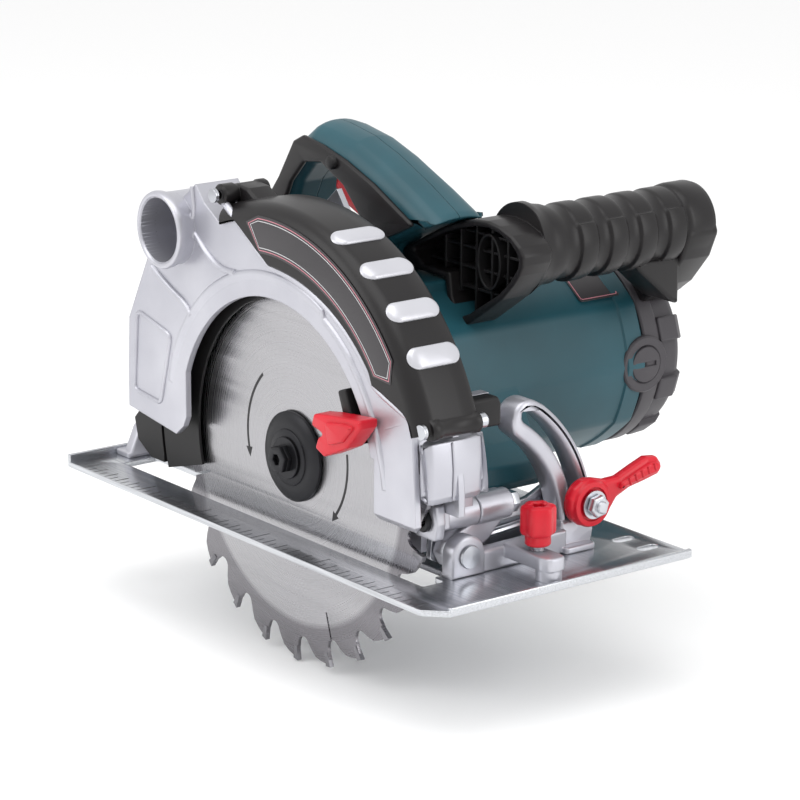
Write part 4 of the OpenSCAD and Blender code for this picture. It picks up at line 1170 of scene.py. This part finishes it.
quadrant = [plate("arc", [arc_outer, slot_loop], 102, 116, 2.2, "X", cast_silver),
            plate("arc_rib", [[polar(pivot, 80.8, a) for a in range(6, 51, 2)]
                              + [polar(pivot, 77.6, a) for a in range(50, 5, -2)]],
                  103.5, 106.5, 0.8, "X", cast_silver),
            plate("ear", [[polar(pivot, ear_r, t) for t in range(0, 181, 9)]
                          + [(pivot[0] - ear_r, seat), (pivot[0] + ear_r, seat)]],
                  111.9, 120.6, 1.2, "X", cast_silver),
            plate("low_wall", [round_corners([(-24, seat), (30, seat), (30, 14.6), (-22, 13.6)],
                                             1.5)], 111.9, 119.8, 1.2, "X", cast_silver),
            plate("arc_foot", [round_corners([(27, seat), (47, seat), (49, 11.2), (43, 18),
                                              (29, 18)], 1.5)], 102.5, 117.2, 1.6, "X",
                  cast_silver),
            plate("bridge", [round_corners([(117, -9), (146, -9.3), (152, -8), (152, 2), (146, 3.2),
                                            (117, 3)], 3.5), circle(*knob_at, 3.05)], 8, 14.8, 1.0,
                  "Z", cast_silver),
            turned("bridge_leg", (145.5, -3), "Z", [(0.05, seat), (6.2, seat), (6.3, 8.4),
                   (6.3, 13), (5.4, 14.6), (0.05, 14.7)], cast_silver)]
for x0, x1, y0, y1 in ((116, 123, 27, 46), (86, 103, 28, 44)):
    quadrant.append(plate("pad", [round_corners(rectangle(x0, y0, x1, y1), 3)],
                          seat, 6.1, 0.8, "Z", cast_silver))
fit(join("bevel_quadrant_casting", quadrant), "base", "cast_alloy", "bevel_quadrant")
pins = [turned("front_pin", pivot, "X", [(4, 98.5), (4, 120.9), (5.5, 121), (5.8, 121.5),
               (5.4, 122.5), (0.05, 122.8)], zinc_steel),
        turned("rear_pin", pivot, "X", [(4, -127), (4, -146), (5.5, -146.2), (5.8, -147),
               (5.4, -148), (0.05, -148.3)], zinc_steel)]
fit(join("bevel_pivot_pins_steel", pins), "base", "zinc_steel", "bevel_pivot_pins")
rivets = [turned("rivet", (x, y), "Z", [(2.2, 0.3), (2.2, 6), (r, 6.1), (r, 6.5), (r * 0.8, 7.3),
                 (r * 0.35, 7.7), (0.05, 7.8)], zinc_steel, steps=32)
          for x, y, r in ((92, 36, 4), (-149.5, -43, 2.6), (-149.5, -19, 2.6))]
fit(join("sole_rivets_steel", rivets), "base", "zinc_steel", "sole_rivets")

# The rear bracket is a small casting that carries the other bevel pivot.
rear_ear = plate("rear_ear", [round_corners([(-51, seat), (-44, 19), (-39, 24), (-31, 25.4),
                                             (-23, 23), (-20, 15), (-16, seat)], 3)],
                 -146, -139, 1.2, "X", cast_silver)
rear_pad = plate("rear_pad", [round_corners(rectangle(-152.4, -51, -139.5, -10), 2)],
                 seat, 6.0, 0.7, "Z", cast_silver)
fit(join("rear_bracket_casting", [rear_ear, rear_pad]), "base", "cast_alloy",
    "rear_bevel_bracket")


# ---------------------------------------------------------------- guide clamp
# A lobed red knob with a recessed top turns a zinc-plated screw that presses
# on the guide bar.
knob = turned("knob", knob_at, "Z", [(3.2, 22.4), (6.6, 22.4), (7.6, 23.2), (8.1, 24.4),
              (8.1, 35), (7.6, 36.4), (6.4, 37.1), (4.2, 37.2), (3.2, 36.6), (3.0, 32), (0.05, 32)],
              red_shell, lobes=6, wave=0.55)
collar = turned("knob_collar", knob_at, "Z", [(3.2, 17.5), (5.6, 17.5), (6.2, 18.2), (6.2, 22),
                (6.4, 22.8), (3.2, 22.8)], red_shell, loop=True)
fit(join("guide_knob_acetal", [knob, collar]), "guide_clamp", "red_plastic", "guide_knob")
thread = [(2.6 if i % 2 else 3.0, 7.9 + 0.5 * i) for i in range(19)]
screw = turned("guide_screw_steel", knob_at, "Z", thread + [(4.6, 17.4), (4.6, 17.45),
               (3.0, 17.5), (3.0, 23.8), (0.05, 24)], zinc_steel)
fit(screw, "guide_clamp", "zinc_steel", "guide_screw")


# ---------------------------------------------------------------- tilting frame
# The tilting frame is cast and pressed: a cast bracket on the front pivot, a
# bent steel bar across to the bevel bolt and a slotted depth arc at the rear.
bracket = [plate("bracket", [round_corners([(-39.6, 13), (-37, 19), (-30, 22), (-20.7, 25.5),
                 (-20.7, 38), (-1, 38), (-1, 26), (-12, 15), (-22.6, 9.6), (-28, 4.8),
                 (-36, 6)], 2)], 103, 111.2, 1.2, "X", cast_silver),
           turned("bracket_barrel", hinge_at, "Y", [(3.6, -20.5), (7.0, -20.5), (7.4, -20),
                  (7.4, -0.9), (6.8, -0.2), (3.6, -0.2)], cast_silver, loop=True)]
fit(join("tilt_bracket_casting", bracket), "tilt_frame", "cast_alloy", "tilt_bracket")
bar = plate("bar", [round_corners([(-39.6, 8), (-31, 4.5), (-10, 5), (42, 14), (50, 20),
                                   (51, 28), (47, 35), (40, 37), (20, 28), (-20, 23),
                                   (-38, 20)], 3), circle(*clamp_at, 3.05)], 98.4, 101.6, 0.5, "X",
            zinc_steel)
wire = rod("tilt_wire", [(104, -16, 14.6), (106, -6, 16.2), (106, 8, 17.2), (104, 20, 17.6),
                         (101, 30, 18)], 1.9, zinc_steel, True)
fit(join("tilt_bar_steel", [bar, wire]), "tilt_frame", "zinc_steel", "tilt_bar")

# The bevel is locked by a bolt through the arc with two washers and a red
# acetal lever; its grip has five moulded grooves.
lever_out = [(26.4, 31.2), (29.2, 36.2), (34.5, 39.2), (41, 39.6), (49, 37.4), (57, 37.6),
             (66, 41.2), (75, 44.4), (81.5, 43.6), (84.6, 39.4), (82.8, 34.6), (74, 32.6),
             (64, 30.8), (56, 27.4), (51.4, 21.4), (47.6, 17.4), (40.5, 15.6), (33.2, 17.2),
             (28.6, 21.4), (26.6, 26)]
red_lever = plate("lever_web", [round_corners(lever_out, 2, 3)], 120, 126.4, 2.4, "X",
                  red_shell)
grip = plate("lever_grip", [round_corners([(56, 31.6), (63, 33.2), (73, 35.4), (80.5, 36.4),
                                           (82.2, 39.4), (80, 41.6), (75, 41.8), (66, 38.8),
                                           (57, 35.2)], 2)], 124, 128.8, 1.4, "X", red_shell)
lever_hub = turned("lever_hub", clamp_at, "X", [(3.2, 118), (10.4, 118), (11.4, 119), (11.6, 126),
                   (10.8, 127.6), (8.4, 127.8), (8.0, 126.6), (3.2, 126.6)], red_shell, loop=True)
grooves = [rod("groove", [(128.9, 62 + 4 * i, 33.6 + 1.1 * i), (128.9, 60.8 + 4 * i,
                                                                 37.2 + 1.1 * i)],
               0.55, red_shell) for i in range(5)]
fit(join("bevel_lever_acetal", [red_lever, grip, lever_hub] + grooves), "bevel_clamp",
    "red_plastic", "bevel_lever")
bolt_parts = [turned("bevel_shank", clamp_at, "X", [(5.4, 95), (5.4, 97.8), (3, 98), (3, 134.2),
                     (2.4, 134.9), (0.05, 135)], zinc_steel),
              plate("bevel_nut", [round_corners(hexagon(clamp_at, 5.6, 11.459), 0.6)],
                    129, 133, 0.7, "X", zinc_steel)]
fit(join("bevel_bolt_steel", bolt_parts), "tilt_frame", "zinc_steel", "bevel_bolt")
washers = [turned("washer", clamp_at, "X", [(3.1, lo), (r, lo), (r, hi), (3.1, hi)], zinc_steel,
                  loop=True) for r, lo, hi in ((8, 116.3, 117.5), (7, 127.9, 128.8))]
fit(join("bevel_washers_steel", washers), "tilt_frame", "zinc_steel", "bevel_washers")


# ---------------------------------------------------------------- carried-over parts
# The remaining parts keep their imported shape; each slot takes the finish of
# what it is made of: bearings, laminations, copper, brass, carbon and castings.
ground_race = brushed("ground_bearing_steel", "#c3c5ca", "#a9abb0", 0.22, 0.4, (1, 0.05, 1))
lamination = brushed("stacked_silicon_steel", "#6a6b70", "#4c4d52", 0.42, 0.5, (0.1, 1, 0.1))
copper_bar = brushed("drawn_copper_bars", "#b8704a", "#9c5a38", 0.3, 0.4, (1, 0.05, 1))
copper_wire = moulded("enamelled_copper_wire", "#a85c32", "#8a4524", 0.35, 0.8, 0.2, 0.3,
                      metallic=0.8)
brass = moulded("pressed_brass", "#c2a05a", "#a8864a", 0.32, 0.6, 0.01, 0.3, metallic=1.0)
carbon = moulded("electrographite", "#2a2a2c", "#1f1f21", 0.6, 0.3, 0.02, 0.2)
slot_finish = {"sole_steel": sole_steel, "cast_alloy": cast_silver, "zinc_steel": zinc_steel,
               "red_plastic": red_shell, "black_rubber": black_grip, "label_grey": label_film,
               "silver_plastic": bright_oval, "black_plastic": black_shell,
               "bearing_steel": ground_race, "dark_steel": black_oxide,
               "blade_steel": blade_steel, "teal_plastic": teal_shell,
               "grey_plastic": grey_shell, "lamination": lamination,
               "copper_wire": copper_wire, "copper_bar": copper_bar, "brass": brass,
               "carbon": carbon, "grip_grey": grey_shell}
for part in frame["record"]["subparts"]:
    for place in frame["nodes"][part["node"]].material_slots:
        place.material = slot_finish[part["material_slot"]]
